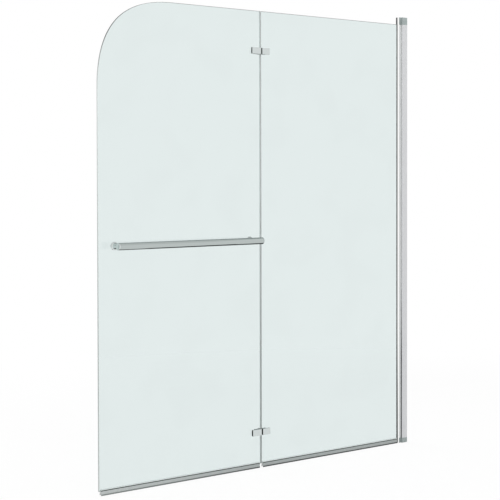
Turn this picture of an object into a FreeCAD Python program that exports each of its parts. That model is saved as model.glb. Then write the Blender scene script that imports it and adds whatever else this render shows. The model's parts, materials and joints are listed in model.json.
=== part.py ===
import FreeCAD, Part
import math
import os

from FreeCAD import Vector

# A two-panel folding bath screen. The wall is the plane x = 0 and the panels reach towards -X.
# The front, with the towel bar, faces -Y. The glass lies about y = 0 and the bath rim is z = 0.

# Overall size
overall_width = 1200.0
overall_height = 1400.0

# Allowances shared by the whole assembly
overrun = 2.0
fixed_fit = 0.02
running_fit = 0.05
swing_room = 0.4
pick_tolerance = 0.001

# Tempered glass panes
glass_thickness = 5.0
glass_arris = 0.4
glass_corner_reach = 252.0
glass_corner_share = 0.68
glass_top_drop = 24.0
glass_rim_gap = 12.0
glass_hole_radius = 5.0
seam_gap = 3.0
fold_clearance = 2.0

# Wall channel, a U section screwed to the wall and open towards the glass
channel_depth = 23.5
channel_width = 19.0
channel_wall = 1.5
channel_web = 2.0
channel_lip_round = 0.6
wall_hole_radius = 3.0
wall_hole_count = 4
wall_hole_end_gap = 80.0

# Adjusting profile, slides in the wall channel and carries both bearing caps
adjusting_recess = 2.5
adjusting_length = 12.0
adjusting_wall = 1.6
adjusting_room = 0.2
screw_port_radius = 2.6
screw_port_bore_radius = 1.5

# Countersunk screws that lock the adjusting profile in the wall channel
lock_screw_radius = 1.9
lock_screw_head_radius = 3.2
lock_screw_head_depth = 1.3
lock_screw_length = 7.0
lock_screw_count = 3
lock_screw_end_gap = 180.0

# Post seal, a strip in the adjusting profile's face close to the turning barrel
post_seal_width = 5.0
post_seal_base = 0.8
post_seal_rib_width = 2.4
post_seal_gap = 0.3

# Bearing caps, close the post at both ends and hold the pivot pins
top_cap_height = 24.0
bottom_cap_height = 16.0
cap_nose_radius = 4.0
cap_edge_chamfer = 0.8
cap_tongue_length = 8.0
cap_tongue_room = 0.3
cap_screw_radius = 1.45
cap_screw_room = 0.25
cap_screw_head_radius = 2.8
cap_screw_head_height = 1.8
cap_screw_recess = 3.0
cap_screw_grip = 12.0

# Pivot pins and their bushes
pivot_pin_radius = 2.5
pivot_pin_chamfer = 0.4
pivot_pin_reach = 18.0
top_pin_seat = 18.0
bottom_pin_seat = 12.0
pivot_bush_length = 20.0
pivot_bush_flange = 1.0
pivot_bush_face_room = 0.1

# Pivot profile, clamps the inner pane and turns on the pivot pins
barrel_radius = 6.0
barrel_bore_radius = 3.3
barrel_groin_radius = 1.0
clamp_wall = 1.2
clamp_floor = 1.0
clamp_bite = 5.0
clamp_end_inset = 1.0
clamp_lip_round = 0.4
gasket_thickness = 0.5
gasket_lip = 1.0

# Bottom seals, clipped on the lower edge of each pane
seal_leg = 0.8
seal_bite = 5.0
seal_rim_gap = 0.0
seal_lip_height = 4.0
seal_lip_thickness = 1.1
seal_lip_splay = 0.6
seal_vane_reach = 2.2
seal_vane_rise = 1.2
seal_web = 1.5
seal_free_inset = 6.0
seal_seam_inset = 4.5
seal_post_gap = 1.5

# Seam seal, a clear strip bonded to the outer pane's hinged edge
seam_base = 0.8
seam_bulb_radius = 1.0
seam_bulb_gap = 0.3
seam_end_room = 0.5

# Glass-to-glass hinges
upper_hinge_drop = 119.5
lower_hinge_rise = 96.0
hinge_height = 19.0
outer_plate_width = 35.0
inner_plate_width = 30.0
back_leaf_width = 21.0
hinge_leaf_gap = 4.0
front_plate_thickness = 4.3
back_leaf_thickness = 4.5
hinge_corner_radius = 2.0
hinge_edge_chamfer = 0.8
folded_leaf_room = 3.0
hinge_pad_thickness = 1.0
hinge_pad_inset = 0.7
knuckle_radius = 4.5
middle_knuckle_height = 7.0
knuckle_room = 0.1
knuckle_arm_reach = 4.0
hinge_pin_radius = 2.0
hinge_bush_wall = 0.8
hinge_bush_flange = 0.4
hinge_bush_flange_wall = 1.9
hinge_screw_inset = 14.0
hinge_screw_radius = 2.4
hinge_screw_head_radius = 4.5
hinge_screw_head_depth = 2.1
hinge_screw_grip = 3.0
hinge_sleeve_wall = 2.4

# Towel bar on the front of the outer pane
bar_radius = 10.0
bar_wall = 1.5
bar_free_inset = 36.0
bar_seam_inset = 27.0
bar_rim_height = 688.5
bar_stand_off = 42.5
bar_cap_thickness = 3.5
bar_cap_bevel = 1.0
bar_plug_length = 7.0
bar_plug_wall = 1.2
bar_post_inset = 16.5
bar_post_radius = 7.5
bar_flange_radius = 11.5
bar_flange_thickness = 2.0
bar_stud_radius = 3.0
bar_stud_grip = 3.0
bar_sleeve_wall = 1.9
bar_washer_thickness = 1.0
bar_washer_inset = 0.8
bar_disc_radius = 7.0
bar_disc_thickness = 3.5
bar_disc_floor = 1.0
bar_disc_bevel = 0.8

# Places worked out from the sizes above
along_x = Vector(1, 0, 0)
along_y = Vector(0, 1, 0)
along_z = Vector(0, 0, 1)
full_turn = 360

glass_half = glass_thickness / 2
glass_top = overall_height - glass_top_drop
glass_bottom = glass_rim_gap
post_low = bottom_cap_height
post_high = overall_height - top_cap_height

channel_half = channel_width / 2
channel_inner = channel_half - channel_wall
adjusting_front = adjusting_recess - channel_depth
adjusting_back = adjusting_front + adjusting_length
adjusting_half = channel_inner - adjusting_room
port_x = adjusting_front + screw_port_radius
port_y = adjusting_half - screw_port_radius
lock_screw_sizes = (lock_screw_radius, lock_screw_head_radius, lock_screw_head_depth, lock_screw_length)

clamp_half = glass_half + gasket_thickness + clamp_wall
pocket_half = glass_half + gasket_thickness
pivot_x = -(channel_depth + swing_room + clamp_half)
clamp_inner = pivot_x - cap_nose_radius - swing_room
pocket_floor = clamp_inner - clamp_floor
inner_glass_end = pocket_floor - gasket_thickness
clamp_outer = inner_glass_end - clamp_bite
clamp_low = clamp_end_inset
clamp_high = overall_height - clamp_end_inset
barrel_low = post_low + pivot_bush_face_room + pivot_bush_flange
barrel_high = post_high - pivot_bush_face_room - pivot_bush_flange

free_edge = -overall_width
seam_x = (free_edge + clamp_outer - fold_clearance) / 2
outer_glass_end = seam_x - seam_gap / 2
inner_glass_start = seam_x + seam_gap / 2

upper_hinge_z = glass_top - upper_hinge_drop
lower_hinge_z = glass_bottom + lower_hinge_rise
hinge_heights = (upper_hinge_z, lower_hinge_z)
hinge_half = hinge_height / 2
leaf_face = glass_half + hinge_pad_thickness
leaf_back = leaf_face + back_leaf_thickness
plate_front = leaf_face + front_plate_thickness
hinge_axis_y = leaf_back + folded_leaf_room / 2
hinge_screw_offset = seam_gap / 2 + hinge_screw_inset
hinge_bush_radius = hinge_pin_radius + running_fit + hinge_bush_wall
knuckle_step = middle_knuckle_height / 2 + knuckle_room + hinge_bush_flange
knuckle_cut_radius = knuckle_radius + swing_room
hinge_screw_sizes = (hinge_screw_radius, hinge_screw_head_radius, hinge_screw_head_depth)

bar_y = -(glass_half + bar_stand_off)
bar_start = free_edge + bar_free_inset
bar_end = outer_glass_end - bar_seam_inset
bar_length = bar_end - bar_start
bar_post_places = (bar_start + bar_post_inset, bar_end - bar_post_inset)
bar_bore_radius = bar_radius - bar_wall
bar_seat = glass_half + bar_washer_thickness
outer_side = -1
inner_side = 1
plate_widths = {outer_side: outer_plate_width, inner_side: inner_plate_width}


def block(x_low, x_high, y_low, y_high, z_low, z_high):
    """A box between three pairs of planes."""
    corner = Vector(x_low, y_low, z_low)
    return Part.makeBox(x_high - x_low, y_high - y_low, z_high - z_low, corner)


def rod(radius, start, direction, length):
    """A round bar from a start point."""
    return Part.makeCylinder(radius, length, start, direction)


def prism(points, reach):
    """A closed outline of straight lines, pushed along a vector."""
    outline = Part.makePolygon(points + points[:1])
    return Part.Face(outline).extrude(reach)


def evenly(low, high, count):
    """Places spread evenly from low to high, both included."""
    pitch = (high - low) / (count - 1)
    return [low + pitch * index for index in range(count)]


def upright_edges_at(shape, x_place):
    """The vertical edges of a shape that lie in one plane across X."""
    found = []
    for edge in shape.Edges:
        box = edge.BoundBox
        upright = box.XLength + box.YLength < pick_tolerance
        if upright and abs(box.XMin - x_place) < pick_tolerance:
            found.append(edge)
    return found


def edges_in_y_plane(shape, y_place):
    """The edges of a shape that lie in one plane across Y."""
    found = []
    for edge in shape.Edges:
        box = edge.BoundBox
        if box.YLength < pick_tolerance and abs(box.YMin - y_place) < pick_tolerance:
            found.append(edge)
    return found


def edges_in_z_plane(shape, z_place):
    """The edges of a shape that lie in one plane across Z."""
    found = []
    for edge in shape.Edges:
        box = edge.BoundBox
        if box.ZLength < pick_tolerance and abs(box.ZMin - z_place) < pick_tolerance:
            found.append(edge)
    return found


def edges_along_y(shape):
    """The straight edges of a shape that run front to back."""
    found = []
    for edge in shape.Edges:
        box = edge.BoundBox
        if box.XLength + box.ZLength < pick_tolerance:
            found.append(edge)
    return found


def countersunk_screw(shank_radius, head_radius, head_depth, length, start, direction):
    """A screw with its flat head at the start point and its shank along the direction."""
    head = Part.makeCone(head_radius, shank_radius, head_depth, start, direction)
    shank = rod(shank_radius, start, direction, length)
    return head.fuse(shank).removeSplitter()


def countersink(shank_radius, head_radius, head_depth, length, start, direction):
    """The hole that a countersunk screw needs, with a fixed fit all round."""
    wide = head_radius + fixed_fit
    narrow = shank_radius + fixed_fit
    cone = Part.makeCone(wide, narrow, head_depth, start, direction)
    return cone.fuse(rod(narrow, start, direction, length))


def lock_screw_places():
    """Head centres of the locking screws, on the channel's back flange."""
    middle = (adjusting_front + adjusting_back) / 2
    heights = evenly(post_low + lock_screw_end_gap, post_high - lock_screw_end_gap, lock_screw_count)
    return [Vector(middle, channel_half, height) for height in heights]


def wall_channel():
    """The U section on the wall, with its screw holes in the web."""
    shape = block(-channel_depth, 0, -channel_half, channel_half, post_low, post_high)
    hollow = block(-channel_depth - overrun, -channel_web, -channel_inner, channel_inner, post_low, post_high)
    shape = shape.cut(hollow)
    shape = shape.makeFillet(channel_lip_round, upright_edges_at(shape, -channel_depth))
    for height in evenly(post_low + wall_hole_end_gap, post_high - wall_hole_end_gap, wall_hole_count):
        start = Vector(-channel_web - overrun, 0, height)
        shape = shape.cut(rod(wall_hole_radius, start, along_x, channel_web + overrun + overrun))
    for place in lock_screw_places():
        shape = shape.cut(countersink(*lock_screw_sizes, place, -along_y))
    return shape


def adjusting_profile():
    """The inner U section, open towards the wall, with screw ports and a seal groove."""
    shape = block(adjusting_front, adjusting_back, -adjusting_half, adjusting_half, post_low, post_high)
    hollow_front = adjusting_front + adjusting_wall
    hollow_half = adjusting_half - adjusting_wall
    hollow = block(hollow_front, adjusting_back + overrun, -hollow_half, hollow_half, post_low, post_high)
    shape = shape.cut(hollow)
    for side in (-1, 1):
        foot = Vector(port_x, side * port_y, post_low)
        shape = shape.fuse(rod(screw_port_radius, foot, along_z, post_high - post_low))
    shape = shape.removeSplitter()
    for side in (-1, 1):
        foot = Vector(port_x, side * port_y, post_low)
        shape = shape.cut(rod(screw_port_bore_radius, foot, along_z, post_high - post_low))
    groove_half = post_seal_width / 2
    groove_back = adjusting_front + post_seal_base
    shape = shape.cut(block(adjusting_front, groove_back, -groove_half, groove_half, post_low, post_high))
    for place in lock_screw_places():
        shape = shape.cut(rod(lock_screw_radius + fixed_fit, place, -along_y, lock_screw_length))
    return shape


def adjusting_screws():
    """The screws that lock the adjusting profile."""
    screws = []
    for place in lock_screw_places():
        screws.append(countersunk_screw(*lock_screw_sizes, place, -along_y))
    return Part.makeCompound(screws)


def post_seal():
    """A strip with a base in the groove and a rib towards the barrel."""
    base_half = post_seal_width / 2
    rib_half = post_seal_rib_width / 2
    rib_tip = pivot_x + barrel_radius + post_seal_gap
    base_back = adjusting_front + post_seal_base
    base = block(adjusting_front, base_back, -base_half, base_half, post_low, post_high)
    rib = block(rib_tip, adjusting_front, -rib_half, rib_half, post_low, post_high)
    shape = base.fuse(rib).removeSplitter()
    return shape


def bearing_cap(face, end, pin_seat):
    """A cap from the post's end face to its outer end, with tongue, pin seat and screw holes."""
    low = min(face, end)
    high = max(face, end)
    outward = 1 if end > face else -1
    outward_z = along_z * outward
    body = block(-channel_depth, 0, -channel_half, channel_half, low, high)
    neck = block(pivot_x, -channel_depth, -cap_nose_radius, cap_nose_radius, low, high)
    nose = rod(cap_nose_radius, Vector(pivot_x, 0, low), along_z, high - low)
    shape = body.fuse([neck, nose]).removeSplitter()
    outer_edges = []
    for edge in edges_in_z_plane(shape, end):
        if edge.BoundBox.XMin < -pick_tolerance:
            outer_edges.append(edge)
    shape = shape.makeChamfer(cap_edge_chamfer, outer_edges)
    tongue_end = face - outward * cap_tongue_length
    tongue_half = channel_inner - cap_tongue_room
    tongue = block(
        adjusting_back + cap_tongue_room,
        -channel_web - cap_tongue_room,
        -tongue_half,
        tongue_half,
        min(face, tongue_end),
        max(face, tongue_end),
    )
    shape = shape.fuse(tongue).removeSplitter()
    shape = shape.cut(rod(pivot_pin_radius + fixed_fit, Vector(pivot_x, 0, face), outward_z, pin_seat))
    for side in (-1, 1):
        start = Vector(port_x, side * port_y, face)
        shape = shape.cut(rod(cap_screw_radius + cap_screw_room, start, outward_z, high - low))
        recess = Vector(port_x, side * port_y, end)
        shape = shape.cut(rod(cap_screw_head_radius + cap_screw_room, recess, -outward_z, cap_screw_recess))
    return shape


def cap_screws():
    """Two pan-head screws in each cap, gripping the adjusting profile's ports."""
    screws = []
    for face, end in ((post_high, overall_height), (post_low, 0)):
        outward = 1 if end > face else -1
        head_seat = end - outward * cap_screw_recess
        for side in (-1, 1):
            seat = Vector(port_x, side * port_y, head_seat)
            head = rod(cap_screw_head_radius, seat, along_z * outward, cap_screw_head_height)
            shank_length = abs(head_seat - face) + cap_screw_grip
            shank = rod(cap_screw_radius, seat, along_z * -outward, shank_length)
            screws.append(head.fuse(shank).removeSplitter())
    return Part.makeCompound(screws)


def pivot_pin(face, outward, pin_seat):
    """A dowel held in a bearing cap, reaching into the barrel's bush."""
    foot = Vector(pivot_x, 0, min(face + outward * pin_seat, face - outward * pivot_pin_reach))
    shape = rod(pivot_pin_radius, foot, along_z, pin_seat + pivot_pin_reach)
    ends = edges_in_z_plane(shape, foot.z) + edges_in_z_plane(shape, foot.z + pin_seat + pivot_pin_reach)
    return shape.makeChamfer(pivot_pin_chamfer, ends)


def pivot_bush(barrel_end, outward):
    """A flanged bush in one end of the barrel."""
    inward = along_z * -outward
    seat = Vector(pivot_x, 0, barrel_end)
    sleeve = rod(barrel_bore_radius - fixed_fit, seat, inward, pivot_bush_length)
    flange = rod(cap_nose_radius, seat, along_z * outward, pivot_bush_flange)
    shape = sleeve.fuse(flange).removeSplitter()
    start = Vector(pivot_x, 0, barrel_end + outward * (pivot_bush_flange + overrun))
    bore_length = pivot_bush_flange + overrun + pivot_bush_length + overrun
    return shape.cut(rod(pivot_pin_radius + running_fit, start, inward, bore_length))


def pivot_profile():
    """The extrusion with a glass clamp over its full height and a barrel notched between the caps."""
    clamp = block(clamp_outer, clamp_inner, -clamp_half, clamp_half, clamp_low, clamp_high)
    clamp = clamp.makeFillet(clamp_lip_round, upright_edges_at(clamp, clamp_outer))
    barrel_foot = Vector(pivot_x, 0, barrel_low)
    barrel_length = barrel_high - barrel_low
    barrel = rod(barrel_radius, barrel_foot, along_z, barrel_length)
    root_half = clamp_half + barrel_groin_radius
    root_x = pivot_x - math.sqrt(barrel_radius ** 2 - root_half ** 2)
    root = block(clamp_inner, pivot_x, -clamp_half, clamp_half, barrel_low, barrel_high)
    shape = clamp.fuse([barrel, root])
    for side in (-1, 1):
        groin = prism(
            [
                Vector(root_x - barrel_groin_radius, side * clamp_half, barrel_low),
                Vector(root_x, side * root_half, barrel_low),
                Vector(pivot_x, side * clamp_half, barrel_low),
            ],
            along_z * barrel_length,
        )
        shape = shape.fuse(groin)
    shape = shape.removeSplitter()
    pocket = block(clamp_outer - overrun, pocket_floor, -pocket_half, pocket_half, clamp_low, clamp_high)
    shape = shape.cut(pocket)
    return shape.cut(rod(barrel_bore_radius, barrel_foot, along_z, barrel_length))


def glazing_gasket():
    """A lining between clamp and glass, closed above and below the pane."""
    lining = block(clamp_outer, pocket_floor, -pocket_half, pocket_half, clamp_low, clamp_high)
    lips = []
    for side in (-1, 1):
        lip = prism(
            [
                Vector(clamp_outer, side * glass_half, glass_bottom),
                Vector(clamp_outer - gasket_lip, side * glass_half, glass_bottom),
                Vector(clamp_outer, side * (pocket_half + clamp_wall / 2), glass_bottom),
            ],
            along_z * (glass_top - glass_bottom),
        )
        lips.append(lip)
    slot = block(
        clamp_outer - gasket_lip - overrun, inner_glass_end, -glass_half, glass_half, glass_bottom, glass_top
    )
    return lining.fuse(lips).removeSplitter().cut(slot)


def pane_holes(shape, places):
    """Cut round holes through a pane at (x, z) places."""
    for x_place, z_place in places:
        start = Vector(x_place, -glass_half - overrun, z_place)
        shape = shape.cut(rod(glass_hole_radius, start, along_y, glass_thickness + overrun + overrun))
    return shape


def hinge_screw_x(side):
    """The place across the width of a leaf's screw, on one side of the seam."""
    return seam_x + side * hinge_screw_offset


def seamed(pane):
    """Take the sharp edge off a pane's outline, front and back."""
    edges = edges_in_y_plane(pane, -glass_half) + edges_in_y_plane(pane, glass_half)
    return pane.makeChamfer(glass_arris, edges)


def inner_glass():
    """The pane between the post and the seam."""
    pane = seamed(block(inner_glass_start, inner_glass_end, -glass_half, glass_half, glass_bottom, glass_top))
    return pane_holes(pane, [(hinge_screw_x(inner_side), height) for height in hinge_heights])


def outer_glass():
    """The free pane, with one large corner that bends most in its middle."""
    pull = glass_corner_reach * (1 - glass_corner_share)
    low_free = Vector(free_edge, -glass_half, glass_bottom)
    low_seam = Vector(outer_glass_end, -glass_half, glass_bottom)
    high_seam = Vector(outer_glass_end, -glass_half, glass_top)
    bend_start = Vector(free_edge + glass_corner_reach, -glass_half, glass_top)
    bend_end = Vector(free_edge, -glass_half, glass_top - glass_corner_reach)
    bend = Part.BezierCurve()
    bend.setPoles(
        [
            bend_start,
            Vector(free_edge + pull, -glass_half, glass_top),
            Vector(free_edge, -glass_half, glass_top - pull),
            bend_end,
        ]
    )
    outline = Part.Wire(
        [
            Part.LineSegment(low_free, low_seam).toShape(),
            Part.LineSegment(low_seam, high_seam).toShape(),
            Part.LineSegment(high_seam, bend_start).toShape(),
            bend.toShape(),
            Part.LineSegment(bend_end, low_free).toShape(),
        ]
    )
    pane = seamed(Part.Face(outline).extrude(along_y * glass_thickness))
    places = [(hinge_screw_x(outer_side), height) for height in hinge_heights]
    places += [(x_place, bar_rim_height) for x_place in bar_post_places]
    return pane_holes(pane, places)


def bottom_seal(start, end):
    """A clip-on strip with a straight wiping lip in front and a drip vane behind."""
    outer = glass_half + seal_leg
    top = glass_bottom + seal_bite
    web_low = glass_bottom - seal_web
    lip_top = seal_rim_gap + seal_lip_height
    lip_inner = outer - seal_lip_thickness
    vane_low = seal_rim_gap + seal_vane_rise
    section = [
        (-outer, top),
        (-outer, lip_top),
        (-outer - seal_lip_splay, seal_rim_gap),
        (-lip_inner - seal_lip_splay, seal_rim_gap),
        (-lip_inner, lip_top),
        (-lip_inner, web_low),
        (lip_inner, web_low),
        (lip_inner, lip_top + seal_lip_thickness),
        (outer + seal_vane_reach - seal_lip_thickness, vane_low),
        (outer + seal_vane_reach, vane_low),
        (outer, lip_top + seal_lip_height),
        (outer, top),
        (glass_half, top),
        (glass_half, glass_bottom),
        (-glass_half, glass_bottom),
        (-glass_half, top),
    ]
    points = [Vector(start, y_place, z_place) for y_place, z_place in section]
    return prism(points, along_x * (end - start))


def seam_strip(low, high):
    """One length of seam seal: a base as wide as the pane's flat edge and a bulb in the gap."""
    base_half = glass_half - glass_arris
    base_end = outer_glass_end + seam_base
    bulb_middle = inner_glass_start - seam_bulb_gap - seam_bulb_radius
    base = block(outer_glass_end, base_end, -base_half, base_half, low, high)
    stem = block(outer_glass_end, bulb_middle, -seam_bulb_radius, seam_bulb_radius, low, high)
    bulb = rod(seam_bulb_radius, Vector(bulb_middle, 0, low), along_z, high - low)
    return base.fuse([stem, bulb]).removeSplitter()


def seam_seal():
    """Three lengths of seam seal, broken at the hinges."""
    seal_foot = glass_bottom + seal_bite + seam_end_room
    reach = hinge_half + seam_end_room
    spans = (
        (seal_foot, lower_hinge_z - reach),
        (lower_hinge_z + reach, upper_hinge_z - reach),
        (upper_hinge_z + reach, glass_top),
    )
    return Part.makeCompound([seam_strip(low, high) for low, high in spans])


def leaf_blank(side, width, y_low, y_high, height, edge_plane):
    """A plate beside the seam with round corners and a chamfered outer face."""
    near = seam_x + side * hinge_leaf_gap / 2
    far = near + side * width
    shape = block(min(near, far), max(near, far), y_low, y_high, height - hinge_half, height + hinge_half)
    shape = shape.makeFillet(hinge_corner_radius, edges_along_y(shape))
    return shape.makeChamfer(hinge_edge_chamfer, edges_in_y_plane(shape, edge_plane))


def hinge_plate(side, height):
    """The plain front plate of a hinge half, tapped from behind."""
    shape = leaf_blank(side, plate_widths[side], -plate_front, -leaf_face, height, -plate_front)
    start = Vector(hinge_screw_x(side), -leaf_face, height)
    return shape.cut(rod(hinge_screw_radius + fixed_fit, start, -along_y, hinge_screw_grip))


def knuckle_spans(side, height):
    """Heights that one leaf's knuckles fill: the inner leaf's in the middle, the outer leaf's around it."""
    half = middle_knuckle_height / 2
    if side == inner_side:
        return [(height - half, height + half)]
    return [(height - hinge_half, height - knuckle_step), (height + knuckle_step, height + hinge_half)]


def knuckle(side, low, high):
    """A knuckle round the pin, with the arm that joins it to its leaf."""
    barrel = rod(knuckle_radius, Vector(seam_x, hinge_axis_y, low), along_z, high - low)
    reach = seam_x + side * (hinge_leaf_gap / 2 + knuckle_arm_reach)
    arm = block(min(reach, seam_x), max(reach, seam_x), hinge_axis_y - knuckle_radius, leaf_back, low, high)
    return barrel.fuse(arm)


def hinge_leaf(side, height):
    """The back leaf of a hinge half, with knuckles, a pin bore and a countersunk hole."""
    shape = leaf_blank(side, back_leaf_width, leaf_face, leaf_back, height, leaf_back)
    for low, high in knuckle_spans(-side, height):
        foot = Vector(seam_x, hinge_axis_y, low - knuckle_room - hinge_bush_flange)
        cut_length = high - low + (knuckle_room + hinge_bush_flange) + (knuckle_room + hinge_bush_flange)
        shape = shape.cut(rod(knuckle_cut_radius, foot, along_z, cut_length))
    for low, high in knuckle_spans(side, height):
        shape = shape.fuse(knuckle(side, low, high))
    shape = shape.removeSplitter()
    bore = hinge_pin_radius if side == inner_side else hinge_bush_radius
    foot = Vector(seam_x, hinge_axis_y, height - hinge_half)
    shape = shape.cut(rod(bore + fixed_fit, foot, along_z, hinge_height))
    seat = Vector(hinge_screw_x(side), leaf_back, height)
    return shape.cut(countersink(*hinge_screw_sizes, back_leaf_thickness, seat, -along_y))


def hinge_pads(side):
    """Soft pads between the glass and the metal, front and back of each hinge half."""
    pads = []
    near = seam_x + side * (hinge_leaf_gap / 2 + hinge_pad_inset)
    reach = hinge_half - hinge_pad_inset
    for height in hinge_heights:
        for face, width in ((-leaf_face, plate_widths[side]), (glass_half, back_leaf_width)):
            far = seam_x + side * (hinge_leaf_gap / 2 + width - hinge_pad_inset)
            back = face + hinge_pad_thickness
            pad = block(min(near, far), max(near, far), face, back, height - reach, height + reach)
            start = Vector(hinge_screw_x(side), face, height)
            pads.append(pad.cut(rod(glass_hole_radius, start, along_y, hinge_pad_thickness)))
    return Part.makeCompound(pads)


def hinge_screws(side):
    """One countersunk screw through each hinge half, from the back."""
    screws = []
    length = leaf_back + leaf_face + hinge_screw_grip
    for height in hinge_heights:
        start = Vector(hinge_screw_x(side), leaf_back, height)
        screws.append(countersunk_screw(*hinge_screw_sizes, length, start, -along_y))
    return Part.makeCompound(screws)


def pane_sleeve(inner_radius, wall, low, high, x_place, z_place):
    """A ring that keeps a screw off the rim of its hole in the glass."""
    start = Vector(x_place, low, z_place)
    outer = rod(inner_radius + wall, start, along_y, high - low)
    return outer.cut(rod(inner_radius, start, along_y, high - low))


def hinge_sleeves(side):
    """Sleeves round the hinge screws, as deep as glass and pads."""
    sleeves = []
    inner_radius = hinge_screw_radius + fixed_fit
    for height in hinge_heights:
        x_place = hinge_screw_x(side)
        sleeves.append(pane_sleeve(inner_radius, hinge_sleeve_wall, -leaf_face, leaf_face, x_place, height))
    return Part.makeCompound(sleeves)


def hinge_pin(height):
    """The pin of one hinge, fixed in the inner leaf's knuckle."""
    foot = Vector(seam_x, hinge_axis_y, height - hinge_half)
    return rod(hinge_pin_radius, foot, along_z, hinge_height)


def hinge_bushes():
    """Flanged bushes in the outer leaves' knuckles, with their flanges towards the middle knuckle."""
    bushes = []
    for height in hinge_heights:
        for outward in (-1, 1):
            seat = Vector(seam_x, hinge_axis_y, height + outward * knuckle_step)
            direction = along_z * outward
            sleeve = rod(hinge_bush_radius, seat, direction, hinge_half - knuckle_step)
            flange_radius = hinge_pin_radius + running_fit + hinge_bush_flange_wall
            flange = rod(flange_radius, seat, -direction, hinge_bush_flange)
            shape = sleeve.fuse(flange).removeSplitter()
            foot = Vector(seam_x, hinge_axis_y, height - hinge_half)
            bushes.append(shape.cut(rod(hinge_pin_radius + running_fit, foot, along_z, hinge_height)))
    return Part.makeCompound(bushes)


def towel_bar():
    """A tube between its end caps, drilled at the back for the two studs."""
    tube_start = bar_start + bar_cap_thickness
    tube_length = bar_length - bar_cap_thickness - bar_cap_thickness
    start = Vector(tube_start, bar_y, bar_rim_height)
    shape = rod(bar_radius, start, along_x, tube_length)
    shape = shape.cut(rod(bar_bore_radius, start, along_x, tube_length))
    for x_place in bar_post_places:
        drill = Vector(x_place, bar_y, bar_rim_height)
        shape = shape.cut(rod(bar_stud_radius + fixed_fit, drill, along_y, bar_radius + overrun))
    return shape


def bar_cap(end, inward):
    """A bevelled end disc with a hollow plug inside the tube."""
    outer_face = Vector(end, bar_y, bar_rim_height)
    inward_x = along_x * inward
    disc = rod(bar_radius, outer_face, inward_x, bar_cap_thickness)
    rim = [edge for edge in disc.Edges if edge.BoundBox.XLength < pick_tolerance]
    rim = [edge for edge in rim if abs(edge.BoundBox.XMin - end) < pick_tolerance]
    disc = disc.makeChamfer(bar_cap_bevel, rim)
    seat = outer_face + inward_x * bar_cap_thickness
    plug_radius = bar_bore_radius - fixed_fit
    plug = rod(plug_radius, seat, inward_x, bar_plug_length)
    plug = plug.cut(rod(plug_radius - bar_plug_wall, seat, inward_x, bar_plug_length))
    return disc.fuse(plug).removeSplitter()


def bar_post(x_place):
    """A turned post that widens in a cone to its flange at the glass and is saddled to the bar."""
    flare = bar_flange_radius - bar_post_radius
    seat = -bar_seat
    rim = seat - bar_flange_thickness
    neck = rim - flare
    axis_seat = Vector(x_place, seat, bar_rim_height)
    rim_seat = Vector(x_place + bar_flange_radius, seat, bar_rim_height)
    rim_front = Vector(x_place + bar_flange_radius, rim, bar_rim_height)
    neck_back = Vector(x_place + bar_post_radius, neck, bar_rim_height)
    neck_front = Vector(x_place + bar_post_radius, bar_y, bar_rim_height)
    axis_front = Vector(x_place, bar_y, bar_rim_height)
    outline = Part.makePolygon([axis_seat, rim_seat, rim_front, neck_back, neck_front, axis_front, axis_seat])
    shape = Part.Face(outline).revolve(axis_seat, along_y, full_turn)
    saddle = rod(bar_radius + fixed_fit, Vector(bar_start, bar_y, bar_rim_height), along_x, bar_length)
    shape = shape.cut(saddle)
    return shape.cut(rod(bar_stud_radius + fixed_fit, axis_front, along_y, bar_stand_off))


def bar_washers():
    """Soft washers on both faces of the glass at each post."""
    washers = []
    front_radius = bar_flange_radius - bar_washer_inset
    for x_place in bar_post_places:
        for face, radius in ((-bar_seat, front_radius), (glass_half, bar_disc_radius)):
            start = Vector(x_place, face, bar_rim_height)
            disc = rod(radius, start, along_y, bar_washer_thickness)
            washers.append(disc.cut(rod(bar_stud_radius + fixed_fit, start, along_y, bar_washer_thickness)))
    return Part.makeCompound(washers)


def bar_sleeves():
    """Sleeves round the studs in the glass."""
    sleeves = []
    for x_place in bar_post_places:
        inner_radius = bar_stud_radius + fixed_fit
        sleeve = pane_sleeve(inner_radius, bar_sleeve_wall, -glass_half, glass_half, x_place, bar_rim_height)
        sleeves.append(sleeve)
    return Part.makeCompound(sleeves)


def bar_studs():
    """Threaded studs from the back discs through the glass and the posts into the bar."""
    studs = []
    back = bar_seat + bar_disc_thickness - bar_disc_floor
    front = bar_y + bar_bore_radius - bar_stud_grip
    for x_place in bar_post_places:
        studs.append(rod(bar_stud_radius, Vector(x_place, front, bar_rim_height), along_y, back - front))
    return Part.makeCompound(studs)


def bar_back_discs():
    """Blind round nuts that close the studs behind the glass."""
    discs = []
    back_face = bar_seat + bar_disc_thickness
    for x_place in bar_post_places:
        seat = Vector(x_place, bar_seat, bar_rim_height)
        disc = rod(bar_disc_radius, seat, along_y, bar_disc_thickness)
        disc = disc.makeChamfer(bar_disc_bevel, edges_in_y_plane(disc, back_face))
        depth = bar_disc_thickness - bar_disc_floor
        discs.append(disc.cut(rod(bar_stud_radius + fixed_fit, seat, along_y, depth)))
    return Part.makeCompound(discs)


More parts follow.
